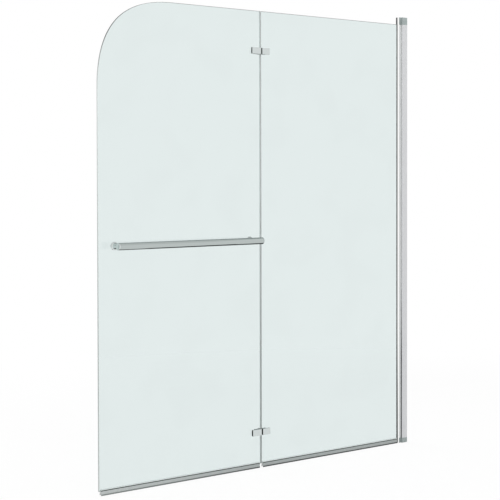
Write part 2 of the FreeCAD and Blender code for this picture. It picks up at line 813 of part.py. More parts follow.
nodes = {
    "wall_channel": wall_channel(),
    "adjusting_profile": adjusting_profile(),
    "adjusting_screws": adjusting_screws(),
    "post_seal": post_seal(),
    "top_bearing_cap": bearing_cap(post_high, overall_height, top_pin_seat),
    "bottom_bearing_cap": bearing_cap(post_low, 0, bottom_pin_seat),
    "cap_screws": cap_screws(),
    "top_pivot_pin": pivot_pin(post_high, 1, top_pin_seat),
    "bottom_pivot_pin": pivot_pin(post_low, -1, bottom_pin_seat),
    "pivot_profile": pivot_profile(),
    "upper_pivot_bush": pivot_bush(barrel_high, 1),
    "lower_pivot_bush": pivot_bush(barrel_low, -1),
    "glazing_gasket": glazing_gasket(),
    "inner_glass": inner_glass(),
    "inner_bottom_seal": bottom_seal(inner_glass_start + seal_seam_inset, clamp_outer - seal_post_gap),
    "outer_glass": outer_glass(),
    "outer_bottom_seal": bottom_seal(free_edge + seal_free_inset, outer_glass_end - seal_seam_inset),
    "seam_seal": seam_seal(),
    "hinge_bushes": hinge_bushes(),
    "towel_bar": towel_bar(),
    "left_bar_cap": bar_cap(bar_start, 1),
    "right_bar_cap": bar_cap(bar_end, -1),
    "left_bar_post": bar_post(bar_post_places[0]),
    "right_bar_post": bar_post(bar_post_places[1]),
    "bar_washers": bar_washers(),
    "bar_sleeves": bar_sleeves(),
    "bar_studs": bar_studs(),
    "bar_back_discs": bar_back_discs(),
}
for panel, side in (("inner", inner_side), ("outer", outer_side)):
    nodes[panel + "_hinge_pads"] = hinge_pads(side)
    nodes[panel + "_hinge_screws"] = hinge_screws(side)
    nodes[panel + "_hinge_sleeves"] = hinge_sleeves(side)
    for level, height in (("upper", upper_hinge_z), ("lower", lower_hinge_z)):
        nodes[level + "_" + panel + "_hinge_leaf"] = hinge_leaf(side, height)
        nodes[level + "_" + panel + "_hinge_plate"] = hinge_plate(side, height)
nodes["upper_hinge_pin"] = hinge_pin(upper_hinge_z)
nodes["lower_hinge_pin"] = hinge_pin(lower_hinge_z)

os.makedirs("parts", exist_ok=True)
for name, shape in nodes.items():
    shape.exportStep("parts/" + name + ".step")
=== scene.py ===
"""A folding bath screen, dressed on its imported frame.

It has two glass panes, a wall post, two glass-to-glass hinges, soft seals and a towel bar.
"""

from __future__ import annotations

import json
import logging
import math
from collections.abc import Sequence
from dataclasses import dataclass, field
from enum import Enum

import bmesh
import bpy
from mathutils import Matrix, Vector
from mathutils.geometry import interpolate_bezier

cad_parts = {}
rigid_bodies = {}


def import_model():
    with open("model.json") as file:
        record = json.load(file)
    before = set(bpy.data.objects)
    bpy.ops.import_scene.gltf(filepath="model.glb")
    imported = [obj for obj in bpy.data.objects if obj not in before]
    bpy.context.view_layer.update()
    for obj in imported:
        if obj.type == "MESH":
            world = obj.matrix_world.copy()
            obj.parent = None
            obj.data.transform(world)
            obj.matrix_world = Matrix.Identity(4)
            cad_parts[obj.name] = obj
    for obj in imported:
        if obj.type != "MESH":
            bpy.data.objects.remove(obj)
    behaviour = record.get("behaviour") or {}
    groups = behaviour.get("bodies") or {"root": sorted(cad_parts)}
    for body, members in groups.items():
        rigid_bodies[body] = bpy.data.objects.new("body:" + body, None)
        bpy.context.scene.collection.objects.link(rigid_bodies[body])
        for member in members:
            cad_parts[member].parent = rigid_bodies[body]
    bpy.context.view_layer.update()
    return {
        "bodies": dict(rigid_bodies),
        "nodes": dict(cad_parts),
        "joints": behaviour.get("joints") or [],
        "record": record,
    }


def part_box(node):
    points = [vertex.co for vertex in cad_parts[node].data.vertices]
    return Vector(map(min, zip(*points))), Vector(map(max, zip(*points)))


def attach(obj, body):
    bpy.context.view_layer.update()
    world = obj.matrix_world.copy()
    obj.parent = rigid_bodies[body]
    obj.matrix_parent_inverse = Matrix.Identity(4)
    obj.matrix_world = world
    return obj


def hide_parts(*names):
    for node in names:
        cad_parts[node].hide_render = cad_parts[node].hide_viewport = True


LOG = logging.getLogger("bath_screen")

MM = 0.001
IMAGE_SIDE = 500
WELD = 0.002 * MM

# An edge that bends more than this stays sharp
SMOOTH_ANGLE = math.radians(32)

# A face counts as square to a direction when its normal's share along it is more than this
SQUARE_ON = 0.9999

AXIS_X = 0
AXIS_Y = 1
AXIS_Z = 2
ALONG_X = Vector((1, 0, 0))
ALONG_Y = Vector((0, 1, 0))
ALONG_Z = Vector((0, 0, 1))
ORIGIN = (0.0, 0.0, 0.0)

# How fine drawn lines are along each axis
UPRIGHT_LINES = (900.0, 900.0, 4.0)
LEVEL_LINES = (4.0, 900.0, 900.0)

TURNED_UP = "turned_up"
HEADING = "heading"
SCREW_SIZES = (
    "Top Radius",
    "Seat Radius",
    "Head Depth",
    "Shank Radius",
    "Length",
    "Socket Radius",
    "Socket Depth",
)

# The values of a mask at which a surface has its first tone and its second
FIRST_TONE = 0.25
SECOND_TONE = 0.75

# The colour sockets of a Mix node, by their place
FIRST_COLOUR = 6
SECOND_COLOUR = 7
MIXED_COLOUR = 2

Material = bpy.types.Material
Mesh = bpy.types.Mesh
Node = bpy.types.Node
Socket = bpy.types.NodeSocket
Tree = bpy.types.NodeTree

Triple = tuple[float, float, float]
Colour = Triple
Bands = Sequence[tuple[float, Colour]]
Loop = list[Vector]
Place = tuple[float, float]
Value = float | Socket


class Body(Enum):
    """The rigid bodies of the frame."""

    WALL_POST = "wall_post"
    INNER_PANEL = "inner_panel"
    OUTER_PANEL = "outer_panel"


class Slot(Enum):
    """The record's material slots, one named on each new piece."""

    GLASS = "clear_glass"
    GREY_SEAL = "grey_seal"
    CLEAR_SEAL = "clear_seal"
    CHROME = "chrome"
    STEEL = "steel"


class Run(Enum):
    """The direction that a section is pushed along, as a turn of the drawing plane."""

    X = Matrix(((0, 0, 1), (1, 0, 0), (0, 1, 0))).to_4x4()
    Y = Matrix(((1, 0, 0), (0, 0, -1), (0, 1, 0))).to_4x4()
    Z = Matrix.Identity(4)


# Node trees


@dataclass
class Wiring:
    """A node tree under construction."""

    tree: Tree

    def feed(self, target: Socket, value: object) -> None:
        """Give an input its value.

        Args:
            target: The input.
            value: A plain value or another node's output.
        """
        if isinstance(value, Socket):
            self.tree.links.new(value, target)
        else:
            target.default_value = value

    def node(self, kind: str, feeds: dict[str | int, object] | None = None, **settings: object) -> Node:
        """Add a node.

        Args:
            kind: The node's type name.
            feeds: Values or outputs for its inputs, by the input's name or place.
            settings: Properties to set on it.

        Returns:
            The new node.
        """
        made = self.tree.nodes.new(kind)
        for key, value in settings.items():
            setattr(made, key, value)
        for label, value in (feeds or {}).items():
            self.feed(made.inputs[label], value)
        return made

    def worked(self, operation: str, *values: Value, clamp: bool = False) -> Socket:
        """Work out a number.

        Args:
            operation: What is done with the values.
            values: Numbers or outputs.
            clamp: Whether the result stays between 0 and 1.

        Returns:
            The result.
        """
        made = self.node("ShaderNodeMath", dict(enumerate(values)), operation=operation, use_clamp=clamp)
        return made.outputs["Value"]

    def ranged(
        self, value: Socket, start: float, end: float, low: float = 0.0, high: float = 1.0, soft: bool = False
    ) -> Socket:
        """Spread a value over another range.

        Args:
            value: The value.
            start: Where its range starts.
            end: Where its range ends.
            low: The result at the start and before it.
            high: The result at the end and after it.
            soft: Whether the result eases in and out.

        Returns:
            The result.
        """
        feeds = {"Value": value, "From Min": start, "From Max": end, "To Min": low, "To Max": high}
        way = "SMOOTHSTEP" if soft else "LINEAR"
        return self.node("ShaderNodeMapRange", feeds, interpolation_type=way).outputs["Result"]

    def noise(self, place: Socket, scale: Value, detail: float, distortion: float = 0.0) -> Socket:
        """Add a noise texture.

        Args:
            place: The coordinates.
            scale: How fine it is.
            detail: How many finer layers it has.
            distortion: How far it is stirred.

        Returns:
            The noise from 0 to 1.
        """
        feeds = {"Vector": place, "Scale": scale, "Detail": detail, "Distortion": distortion}
        return self.node("ShaderNodeTexNoise", feeds).outputs["Fac"]

    def seen_directly(self) -> Socket:
        """Tell the rays that show the surround: from the camera, off metal and through glass.

        Returns:
            A value of 1 for those rays.
        """
        path = self.node("ShaderNodeLightPath").outputs
        off_surface = self.worked("MAXIMUM", path["Is Camera Ray"], path["Is Glossy Ray"])
        return self.worked("MAXIMUM", off_surface, path["Is Transmission Ray"])

    def surface(self, share: Socket, first: Socket, second: Socket) -> None:
        """Show two shaders as the tree's surface.

        Args:
            share: 0 where the first shader shows and 1 where the second does.
            first: The first shader.
            second: The second shader.
        """
        mix = self.node("ShaderNodeMixShader", {"Fac": share, 1: first, 2: second})
        self.feed(self.tree.get_output_node("ALL").inputs["Surface"], mix.outputs["Shader"])


def open_group(name: str, inputs: dict[str, float | Triple], *outputs: str) -> tuple[Wiring, Node]:
    """Start a shader group with named sockets.

    Args:
        name: The group's name.
        inputs: Each input's name with its starting value.
        outputs: The names of the outputs, which are all numbers.

    Returns:
        The group's wiring and its input node.
    """
    tree = bpy.data.node_groups.new(name, "ShaderNodeTree")
    for label, start in inputs.items():
        kind = "NodeSocketFloat" if isinstance(start, float) else "NodeSocketVector"
        tree.interface.new_socket(label, in_out="INPUT", socket_type=kind).default_value = start
    for label in outputs:
        tree.interface.new_socket(label, in_out="OUTPUT", socket_type="NodeSocketFloat")
    wires = Wiring(tree)
    return wires, wires.node("NodeGroupInput")


def grain_group() -> Tree:
    """The fine pebbled skin of moulded plastic and rubber.

    Returns:
        A group that puts out a slow mottling mask and a fine height.
    """
    name = "moulded_grain"
    if name in bpy.data.node_groups:
        return bpy.data.node_groups[name]
    wires, start = open_group(name, {"Vector": ORIGIN, "Grain": 2500.0, "Mottling": 40.0}, "Mask", "Height")
    place = start.outputs["Vector"]
    fine = wires.noise(place, start.outputs["Grain"], detail=2.0)
    slow = wires.noise(place, start.outputs["Mottling"], detail=4.0)
    wires.node("NodeGroupOutput", {"Mask": slow, "Height": fine})
    return wires.tree


def drawn_group() -> Tree:
    """The long fine lines that a die or a polishing wheel leaves.

    Returns:
        A group that puts out the lines as a mask, squeezed across and stretched along its Stretch input.
    """
    name = "drawn_lines"
    if name in bpy.data.node_groups:
        return bpy.data.node_groups[name]
    wires, start = open_group(name, {"Vector": ORIGIN, "Stretch": UPRIGHT_LINES}, "Lines")
    factors = {0: start.outputs["Vector"], 1: start.outputs["Stretch"]}
    squeeze = wires.node("ShaderNodeVectorMath", factors, operation="MULTIPLY")
    wires.node("NodeGroupOutput", {"Lines": wires.noise(squeeze.outputs["Vector"], scale=1.0, detail=3.0)})
    return wires.tree


def marks_group() -> Tree:
    """The faint clouds that wiping leaves on a bright surface.

    Returns:
        A group that puts out a soft mask.
    """
    name = "wiping_marks"
    if name in bpy.data.node_groups:
        return bpy.data.node_groups[name]
    wires, start = open_group(name, {"Vector": ORIGIN, "Size": 25.0}, "Marks")
    cloud = wires.noise(start.outputs["Vector"], start.outputs["Size"], detail=5.0, distortion=0.6)
    wires.node("NodeGroupOutput", {"Marks": wires.ranged(cloud, start=0.35, end=0.75, soft=True)})
    return wires.tree


# Finishes


class Paint(Wiring):
    """A material under construction, with its shader and its object coordinates."""

    def __init__(self, name: str) -> None:
        """Start the material with one Principled shader.

        Args:
            name: The material's name.
        """
        self.material: Material = bpy.data.materials.new(name)
        self.material.use_nodes = True
        super().__init__(self.material.node_tree)
        self.shader: Node = self.tree.nodes["Principled BSDF"]
        self.place: Socket = self.node("ShaderNodeTexCoord").outputs["Object"]

    def give(self, label: str, value: object) -> None:
        """Set one of the shader's inputs to a value or another node's output."""
        self.feed(self.shader.inputs[label], value)

    def along(self, axis: str) -> Socket:
        """The place along one axis, in object coordinates."""
        return self.node("ShaderNodeSeparateXYZ", {"Vector": self.place}).outputs[axis]

    def effect(self, group: Tree, **values: object) -> Node:
        """Place a shader group on the object coordinates, with its inputs' values by name."""
        return self.node("ShaderNodeGroup", {"Vector": self.place, **values}, node_tree=group)

    def spread(self, mask: Socket, low: float, high: float, target: str) -> None:
        """Drive a shader input from a value at a mask of 0 to another at a mask of 1."""
        self.give(target, self.ranged(mask, start=0.0, end=1.0, low=low, high=high))

    def rough(self, mask: Socket, middle: float, swing: float) -> None:
        """Vary the roughness by a mask, to both sides of a middle value."""
        self.spread(mask, middle - swing, middle + swing, "Roughness")

    def banded(self, mask: Socket, bands: Bands) -> Socket:
        """Choose a colour by a mask.

        Args:
            mask: A value from 0 to 1.
            bands: Values of the mask in rising order, with their colours.

        Returns:
            The colour.
        """
        ramp = self.node("ShaderNodeValToRGB", {"Fac": mask})
        stops = ramp.color_ramp.elements
        for index, (share, colour) in enumerate(bands):
            stop = stops[index] if index < len(stops) else stops.new(share)
            stop.position = share
            stop.color = (*colour, 1)
        return ramp.outputs["Color"]

    def tones(self, mask: Socket, dark: Colour, light: Colour) -> None:
        """Colour the surface between two tones by a mask."""
        self.give("Base Color", self.banded(mask, ((FIRST_TONE, dark), (SECOND_TONE, light))))

    def blended(self, share: Socket, first: Socket, second: object) -> Socket:
        """Mix two colours.

        Args:
            share: 0 where the first colour shows and 1 where the second does.
            first: The first colour.
            second: The second colour, as an output or with its alpha.

        Returns:
            The mixed colour.
        """
        feeds = {"Factor": share, FIRST_COLOUR: first, SECOND_COLOUR: second}
        return self.node("ShaderNodeMix", feeds, data_type="RGBA").outputs[MIXED_COLOUR]

    def cover(self, mask: Socket, colour: Colour) -> None:
        """Lay a second colour over the first where a mask is 1."""
        first = self.shader.inputs["Base Color"].links[0].from_socket
        self.give("Base Color", self.blended(mask, first, (*colour, 1)))

    def relief(self, height: Socket, strength: float, depth: float) -> None:
        """Raise the surface by a height, as bump."""
        bump = self.node("ShaderNodeBump", {"Strength": strength, "Distance": depth, "Height": height})
        self.give("Normal", bump.outputs["Normal"])


def grey(level: float) -> tuple[float, float, float, float]:
    """A grey with its alpha."""
    return (level, level, level, 1.0)


def shade(colour: Colour, factor: float) -> Colour:
    """A colour made darker or lighter by a factor."""
    return tuple(min(1.0, channel * factor) for channel in colour)


@dataclass(frozen=True)
class MetalFinish:
    """A bare or plated metal with drawn lines and wiping marks."""

    name: str
    colour: Colour
    roughness: float
    roughness_spread: float
    stretch: Triple
    line_depth: float
    metallic: float = 1.0
    line_strength: float = 0.04
    line_shades: tuple[float, float] = (0.97, 1.02)
    mark_size: float = 18.0

    def material(self) -> Material:
        """Build the material.

        Returns:
            A metal whose roughness follows wiping marks and whose relief follows drawn lines.
        """
        paint = Paint(self.name)
        paint.give("Metallic", self.metallic)
        marks = paint.effect(marks_group(), Size=self.mark_size).outputs["Marks"]
        lines = paint.effect(drawn_group(), Stretch=self.stretch).outputs["Lines"]
        paint.tones(lines, *(shade(self.colour, factor) for factor in self.line_shades))
        paint.spread(marks, self.roughness, self.roughness + self.roughness_spread, "Roughness")
        paint.relief(lines, self.line_strength, self.line_depth)
        return paint.material


@dataclass(frozen=True)
class ProfileFinish:
    """An extrusion whose clamp is polished bright and whose barrel is left satin.

    The two meet at one place across X, the split. The clamp's near-white tone is partly its polish and partly
    a painted highlight. The clamp's lip takes painted shade, darker towards its foot.
    """

    name: str
    bright: Colour
    satin: Colour
    bright_roughness: float
    satin_roughness: float
    satin_metallic: float
    split: float
    lip: float
    lip_width: float
    lip_shade: Colour
    lip_head: float
    split_blend: float = 0.3 * MM
    line_strength: float = 0.04
    line_depth: float = 0.01 * MM

    def material(self) -> Material:
        """Build the material.

        Returns:
            A metal that goes from polished to satin at the split, with fine drawn lines.
        """
        paint = Paint(self.name)
        across = paint.along("X")
        side = paint.ranged(across, self.split - self.split_blend, self.split + self.split_blend)
        on_lip = paint.ranged(across, self.lip + self.lip_width, self.lip + self.lip_width / 2)
        fall = paint.ranged(paint.along("Z"), self.lip_head, 0.0)
        lines = paint.effect(drawn_group(), Stretch=UPRIGHT_LINES).outputs["Lines"]
        # The clamp's near-white tone is partly a painted highlight
        paint.tones(side, self.bright, self.satin)
        # Painted shade on the clamp's lip, darker towards its foot
        paint.cover(paint.worked("MULTIPLY", on_lip, fall), self.lip_shade)
        paint.spread(side, self.bright_roughness, self.satin_roughness, "Roughness")
        paint.spread(side, 1.0, self.satin_metallic, "Metallic")
        paint.relief(lines, self.line_strength, self.line_depth)
        return paint.material


@dataclass(frozen=True)
class MouldedFinish:
    """A moulded plastic or rubber with a fine grain."""

    name: str
    colour: Colour
    roughness: float
    grain: float
    grain_depth: float
    grain_strength: float = 0.25
    roughness_swing: float = 0.06
    contrast: float = 0.06
    mottling: float = 45.0
    ior: float = 1.46

    def material(self) -> Material:
        """Build the material.

        Returns:
            A plastic with slow mottling and a fine pebbled relief.
        """
        paint = Paint(self.name)
        paint.give("IOR", self.ior)
        skin = paint.effect(grain_group(), Grain=self.grain, Mottling=self.mottling)
        dark = shade(self.colour, 1 - self.contrast)
        light = shade(self.colour, 1 + self.contrast)
        paint.tones(skin.outputs["Mask"], dark, light)
        paint.rough(skin.outputs["Height"], self.roughness, self.roughness_swing)
        paint.relief(skin.outputs["Height"], self.grain_strength, self.grain_depth)
        return paint.material


@dataclass(frozen=True)
class UprightFinish:
    """A face whose tone changes from its foot to its head.

    Its tone is painted shade or reflection, darker towards the foot. Where its edge turns upwards it may take
    another tone, painted shade as well.
    """

    name: str
    low: Colour
    high: Colour
    foot: float
    head: float
    roughness: float
    metallic: float = 0.0
    turned: Colour | None = None
    stretch: Triple = (900.0, 900.0, 40.0)
    roughness_swing: float = 0.05
    line_strength: float = 0.1
    line_depth: float = 0.02 * MM

    def material(self) -> Material:
        """Build the material.

        Returns:
            A satin surface with painted shade by height, with fine grinding lines.
        """
        paint = Paint(self.name)
        paint.give("Metallic", self.metallic)
        lines = paint.effect(drawn_group(), Stretch=self.stretch).outputs["Lines"]
        # Painted shade: darker at the foot, lighter at the head
        paint.tones(paint.ranged(paint.along("Z"), self.foot, self.head), self.low, self.high)
        if self.turned is not None:
            # Painted shade where the edge turns up
            edge = paint.node("ShaderNodeAttribute", attribute_name=TURNED_UP)
            paint.cover(edge.outputs["Fac"], self.turned)
        paint.rough(lines, self.roughness, self.roughness_swing)
        paint.relief(lines, self.line_strength, self.line_depth)
        return paint.material


@dataclass(frozen=True)
class SealFinish:
    """A soft extruded strip in colour bands up its section, darker towards the wall than at its free end as
    painted shade.
    """

    name: str
    free_bands: Bands
    wall_bands: Bands
    height: float
    free_end: float
    settled: float
    roughness: float
    stretch: Triple = (3.0, 1600.0, 1600.0)
    roughness_swing: float = 0.08
    line_strength: float = 0.2
    line_depth: float = 0.05 * MM
    ior: float = 1.48

    def material(self) -> Material:
        """Build the material.

        Returns:
            A rubber coloured by the height over the rim, with painted shade along the way to the wall, and
            fine extrusion lines.
        """
        paint = Paint(self.name)
        paint.give("IOR", self.ior)
        level = paint.ranged(paint.along("Z"), 0.0, self.height)
        # Painted shade: the strip darkens from its free end towards the wall
        way = paint.ranged(paint.along("X"), self.free_end, self.settled)
        lines = paint.effect(drawn_group(), Stretch=self.stretch).outputs["Lines"]
        free = paint.banded(level, self.free_bands)
        wall = paint.banded(level, self.wall_bands)
        paint.give("Base Color", paint.blended(way, free, wall))
        paint.rough(lines, self.roughness, self.roughness_swing)
        paint.relief(lines, self.line_strength, self.line_depth)
        return paint.material


def seal_bands(lip: Colour, body: Colour) -> Bands:
    """The colours of a rim seal's section by their share of its height.

    Args:
        lip: The wiping lip's colour, its own darker rubber with painted shadow.
        body: The colour between the lip and the leg.

    Returns:
        The bands, from the lip up to the dark leg and its clear rim.
    """
    dark = (0.065, 0.08, 0.077)
    clear = (0.84, 0.88, 0.875)
    spans = {(0.0, 0.19): lip, (0.25, 0.71): body, (0.76, 0.9): dark, (0.93, 1.0): clear}
    return tuple((share, colour) for span, colour in spans.items() for share in span)


@dataclass(frozen=True)
class GlassFinish:
    """A clear tinted body that lets lamps through."""

    name: str
    tint: Colour
    roughness: float
    ior: float
    mark_size: float = 6.0
    mark_shades: tuple[float, float] = (1.003, 0.99)

    def material(self) -> Material:
        """Build the material.

        Returns:
            A refracting shader with faint wiping marks in its tint, see-through to shadow and mirrored rays.
        """
        paint = Paint(self.name)
        marks = paint.effect(marks_group(), Size=self.mark_size).outputs["Marks"]
        paint.tones(marks, *(shade(self.tint, factor) for factor in self.mark_shades))
        paint.give("Roughness", self.roughness)
        paint.give("IOR", self.ior)
        paint.give("Transmission Weight", 1.0)
        face_tint = (*(math.sqrt(channel) for channel in self.tint), 1)
        clear = paint.node("ShaderNodeBsdfTransparent", {"Color": face_tint})
        path = paint.node("ShaderNodeLightPath").outputs
        through = paint.worked("ADD", path["Is Shadow Ray"], path["Glossy Depth"], clamp=True)
        paint.surface(through, paint.shader.outputs["BSDF"], clear.outputs["BSDF"])
        return paint.material


@dataclass
class Finishes:
    """Every material of the screen, built once."""

    glass: Material = field(init=False)
    free_edge: Material = field(init=False)
    seam_edge: Material = field(init=False)
    chrome: Material = field(init=False)
    bar_chrome: Material = field(init=False)
    plate_rim: Material = field(init=False)
    clamp_profile: Material = field(init=False)
    satin_profile: Material = field(init=False)
    recess: Material = field(init=False)
    steel: Material = field(init=False)
    cap: Material = field(init=False)
    bearing: Material = field(init=False)
    pad: Material = field(init=False)
    gasket: Material = field(init=False)
    rim_seal: Material = field(init=False)
    pale_seal: Material = field(init=False)
    clear_seal: Material = field(init=False)

    def __post_init__(self) -> None:
        """Build the materials from their finishes."""
        self.glazing()
        self.metals()
        self.profiles()
        self.plastics()
        self.seals()

    def glazing(self) -> None:
        """Build the materials of the panes."""
        self.glass = GlassFinish("clear_glass", (0.757, 0.828, 0.822), roughness=0.0, ior=1.48).material()
        # Painted shade on the ground edges: lighter towards the head and dark where they turn up; the seam
        # edge is a darker copy, painted shade of the narrow gap
        common = {"foot": 0.0, "head": 1350.0 * MM, "roughness": 0.3, "turned": (0.035, 0.04, 0.04)}
        self.free_edge = UprightFinish(
            "free_glass_edge", low=(0.50, 0.55, 0.535), high=(0.76, 0.81, 0.80), **common
        ).material()
        self.seam_edge = UprightFinish(
            "seam_glass_edge", low=(0.42, 0.45, 0.44), high=(0.58, 0.61, 0.60), **common
        ).material()

    def metals(self) -> None:
        """Build the materials of the hinges, the bar and the screws."""
        polish = {"roughness": 0.03, "stretch": LEVEL_LINES, "line_depth": 0.002 * MM}
        self.chrome = MetalFinish(
            "bright_chrome", (0.63, 0.675, 0.67), roughness_spread=0.02, **polish
        ).material()
        # A darker copy of the bright chrome, as painted shade on the bar and the right cap and post
        self.bar_chrome = MetalFinish(
            "bar_chrome", (0.475, 0.52, 0.512), roughness_spread=0.03, **polish
        ).material()
        # Painted dark reflection on the plates' left rims, darker towards the foot
        self.plate_rim = UprightFinish(
            "plate_rim",
            low=(0.02, 0.022, 0.022),
            high=(0.2, 0.215, 0.212),
            foot=100.0 * MM,
            head=1280.0 * MM,
            roughness=0.12,
            metallic=1.0,
        ).material()
        self.steel = MetalFinish(
            "stainless_steel",
            (0.55, 0.55, 0.555),
            roughness=0.22,
            roughness_spread=0.12,
            stretch=LEVEL_LINES,
            line_depth=0.02 * MM,
        ).material()

    def profiles(self) -> None:
        """Build the materials of the wall post's extrusions."""
        # The near-white clamp is partly a painted highlight; its lip takes painted shade towards the foot
        self.clamp_profile = ProfileFinish(
            "clamp_profile",
            bright=(0.99, 0.99, 0.985),
            satin=(0.655, 0.67, 0.67),
            bright_roughness=0.1,
            satin_roughness=0.36,
            satin_metallic=0.2,
            split=-33.0 * MM,
            lip=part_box("pivot_profile")[0].x,
            lip_width=2.4 * MM,
            lip_shade=(0.17, 0.19, 0.185),
            lip_head=380.0 * MM,
        ).material()
        self.satin_profile = MetalFinish(
            "satin_profile",
            (0.622, 0.63, 0.642),
            roughness=0.36,
            roughness_spread=0.08,
            stretch=UPRIGHT_LINES,
            line_depth=0.02 * MM,
            metallic=0.4,
        ).material()
        # Painted shade in the recess between the barrel and the channel, darker towards the foot
        self.recess = UprightFinish(
            "satin_recess",
            low=(0.25, 0.26, 0.26),
            high=(0.97, 0.98, 0.98),
            foot=150.0 * MM,
            head=650.0 * MM,
            roughness=0.6,
        ).material()

    def plastics(self) -> None:
        """Build the materials of the caps, bushes and pads."""
        self.cap = MouldedFinish(
            "moulded_cap", (0.325, 0.372, 0.366), roughness=0.42, grain=2600.0, grain_depth=0.03 * MM
        ).material()
        self.bearing = MouldedFinish(
            "bearing_plastic", (0.82, 0.82, 0.79), roughness=0.35, grain=1800.0, grain_depth=0.01 * MM
        ).material()
        self.pad = MouldedFinish(
            "soft_pad", (0.42, 0.44, 0.44), roughness=0.6, grain=2200.0, grain_depth=0.03 * MM
        ).material()

    def seals(self) -> None:
        """Build the materials of the gasket, the rim seals and the seam strip."""
        # Painted shade on the black gasket, darker towards the foot
        self.gasket = UprightFinish(
            "clamp_gasket",
            low=(0.012, 0.014, 0.014),
            high=(0.06, 0.066, 0.066),
            foot=100.0 * MM,
            head=900.0 * MM,
            roughness=0.55,
        ).material()
        self.pale_seal = MouldedFinish(
            "pale_seal", (0.87, 0.885, 0.88), roughness=0.5, grain=2400.0, grain_depth=0.02 * MM
        ).material()
        self.rim_seal = SealFinish(
            "grey_rim_seal",
            # The wall bands are a darker copy, as painted shade towards the wall
            free_bands=seal_bands(lip=(0.22, 0.245, 0.24), body=(0.51, 0.54, 0.535)),
            wall_bands=seal_bands(lip=(0.04, 0.045, 0.045), body=(0.375, 0.405, 0.40)),
            height=17.0 * MM,
            free_end=-1200.0 * MM,
            settled=-600.0 * MM,
            roughness=0.45,
        ).material()
        self.clear_seal = GlassFinish("clear_seal", (0.80, 0.83, 0.83), roughness=0.35, ior=1.45).material()


# Shapes


@dataclass(frozen=True)
class Corner:
    """A corner of a flat outline, rounded by two curve handles.

    reach is how far from the corner the bend starts.
    pull is the handles' share of it, for a round arc where it is None.
    """

    x: float
    y: float
    reach: float = 0.0
    pull: float | None = None


def trace(corners: Sequence[Corner], closed: bool = True, steps: int = 8) -> Loop:
    """Draw an outline through rounded corners.

    Args:
        corners: The outline's corners in order.
        closed: Whether the last corner joins the first.
        steps: Points in each bend.

    Returns:
        The outline's points.
    """
    points: Loop = []
    spots = [Vector((corner.x, corner.y)) for corner in corners]
    for index, corner in enumerate(corners):
        at_end = not closed and index in (0, len(corners) - 1)
        if at_end or corner.reach <= 0:
            points.append(spots[index])
            continue
        back = (spots[index - 1] - spots[index]).normalized()
        ahead = (spots[(index + 1) % len(spots)] - spots[index]).normalized()
        half = back.angle(ahead) / 2
        turn = math.pi - half - half
        # A circle's arc has handles of 4/3 of its radius times the tangent of a quarter of its turn
        arc_pull = 4 / 3 * math.tan(turn / 4) * math.tan(half)
        pull = arc_pull if corner.pull is None else corner.pull
        first = spots[index] + back * corner.reach
        last = spots[index] + ahead * corner.reach
        first_handle = first - back * corner.reach * pull
        last_handle = last - ahead * corner.reach * pull
        bend = interpolate_bezier(first, first_handle, last_handle, last, steps)
        points.extend(point.to_2d() for point in bend)
    return points


def ring(x: float, y: float, radius: float, steps: int = 48) -> Loop:
    """A circle as an outline."""
    turns = [math.tau * index / steps for index in range(steps)]
    return [Vector((x + radius * math.cos(turn), y + radius * math.sin(turn))) for turn in turns]


def drum(start: float, end: float, radius: float, start_edge: float, end_edge: float, steps: int = 8) -> Loop:
    """The profile of a round plug with rounded rims.

    Args:
        start: Where the plug starts along its axis.
        end: Where it ends.
        radius: Its radius.
        start_edge: The rounding of its rim at the start.
        end_edge: The rounding of its rim at the end.
        steps: Points in each rounding.

    Returns:
        The profile's points, from the axis out and back to it.
    """
    corners = [
        Corner(start, 0),
        Corner(start, radius, start_edge),
        Corner(end, radius, end_edge),
        Corner(end, 0),
    ]
    return trace(corners, closed=False, steps=steps)


def put(name: str, content: bpy.types.ID) -> bpy.types.Object:
    """Put a mesh, a lamp or a camera into the scene.

    Args:
        name: The object's name.
        content: What it shows.

    Returns:
        The new object.
    """
    item = bpy.data.objects.new(name, content)
    bpy.context.scene.collection.objects.link(item)
    return item


def sheet(name: str, corners: Sequence[Triple], material: Material) -> bpy.types.Object:
    """Put one flat face into the scene.

    Args:
        name: The object's name.
        corners: The face's corners in order.
        material: Its material.

    Returns:
        The new object.
    """
    mesh = bpy.data.meshes.new(name)
    mesh.from_pydata(corners, [], [tuple(range(len(corners)))])
    mesh.materials.append(material)
    return put(name, mesh)


def plain(source: bpy.types.Object) -> Mesh:
    """Turn an object with its modifiers into a plain mesh and remove the object.

    Args:
        source: The object to evaluate.

    Returns:
        Its final mesh.
    """
    bpy.context.scene.collection.objects.link(source)
    view = bpy.context.evaluated_depsgraph_get()
    mesh = bpy.data.meshes.new_from_object(source.evaluated_get(view), depsgraph=view)
    bpy.data.objects.remove(source)
    return mesh


def smoothed(mesh: Mesh) -> Mesh:
    """Shade a mesh smooth between its sharp edges.

    Args:
        mesh: The mesh.

    Returns:
        The same mesh.
    """
    mesh.polygons.foreach_set("use_smooth", [True] * len(mesh.polygons))
    mesh.set_sharp_from_angle(angle=SMOOTH_ANGLE)
    return mesh


def finish_mesh(mesh: Mesh) -> Mesh:
    """Weld a mesh, turn its faces outwards and shade it smooth.

    Args:
        mesh: The mesh.

    Returns:
        The same mesh.
    """
    work = bmesh.new()
    work.from_mesh(mesh)
    bmesh.ops.remove_doubles(work, verts=work.verts, dist=WELD)
    bmesh.ops.dissolve_degenerate(work, edges=work.edges, dist=WELD)
    bmesh.ops.recalc_face_normals(work, faces=work.faces)
    work.to_mesh(mesh)
    work.free()
    return smoothed(mesh)


def flat_ends(mesh: Mesh, *ways: Vector) -> Mesh:
    """Shade the faces across some directions flat, so that a rounded edge leaves no sheen on them.

    Args:
        mesh: The mesh.
        ways: The directions.

    Returns:
        The same mesh.
    """
    for face in mesh.polygons:
        if any(abs(face.normal.dot(way)) > SQUARE_ON for way in ways):
            face.use_smooth = False
    return mesh


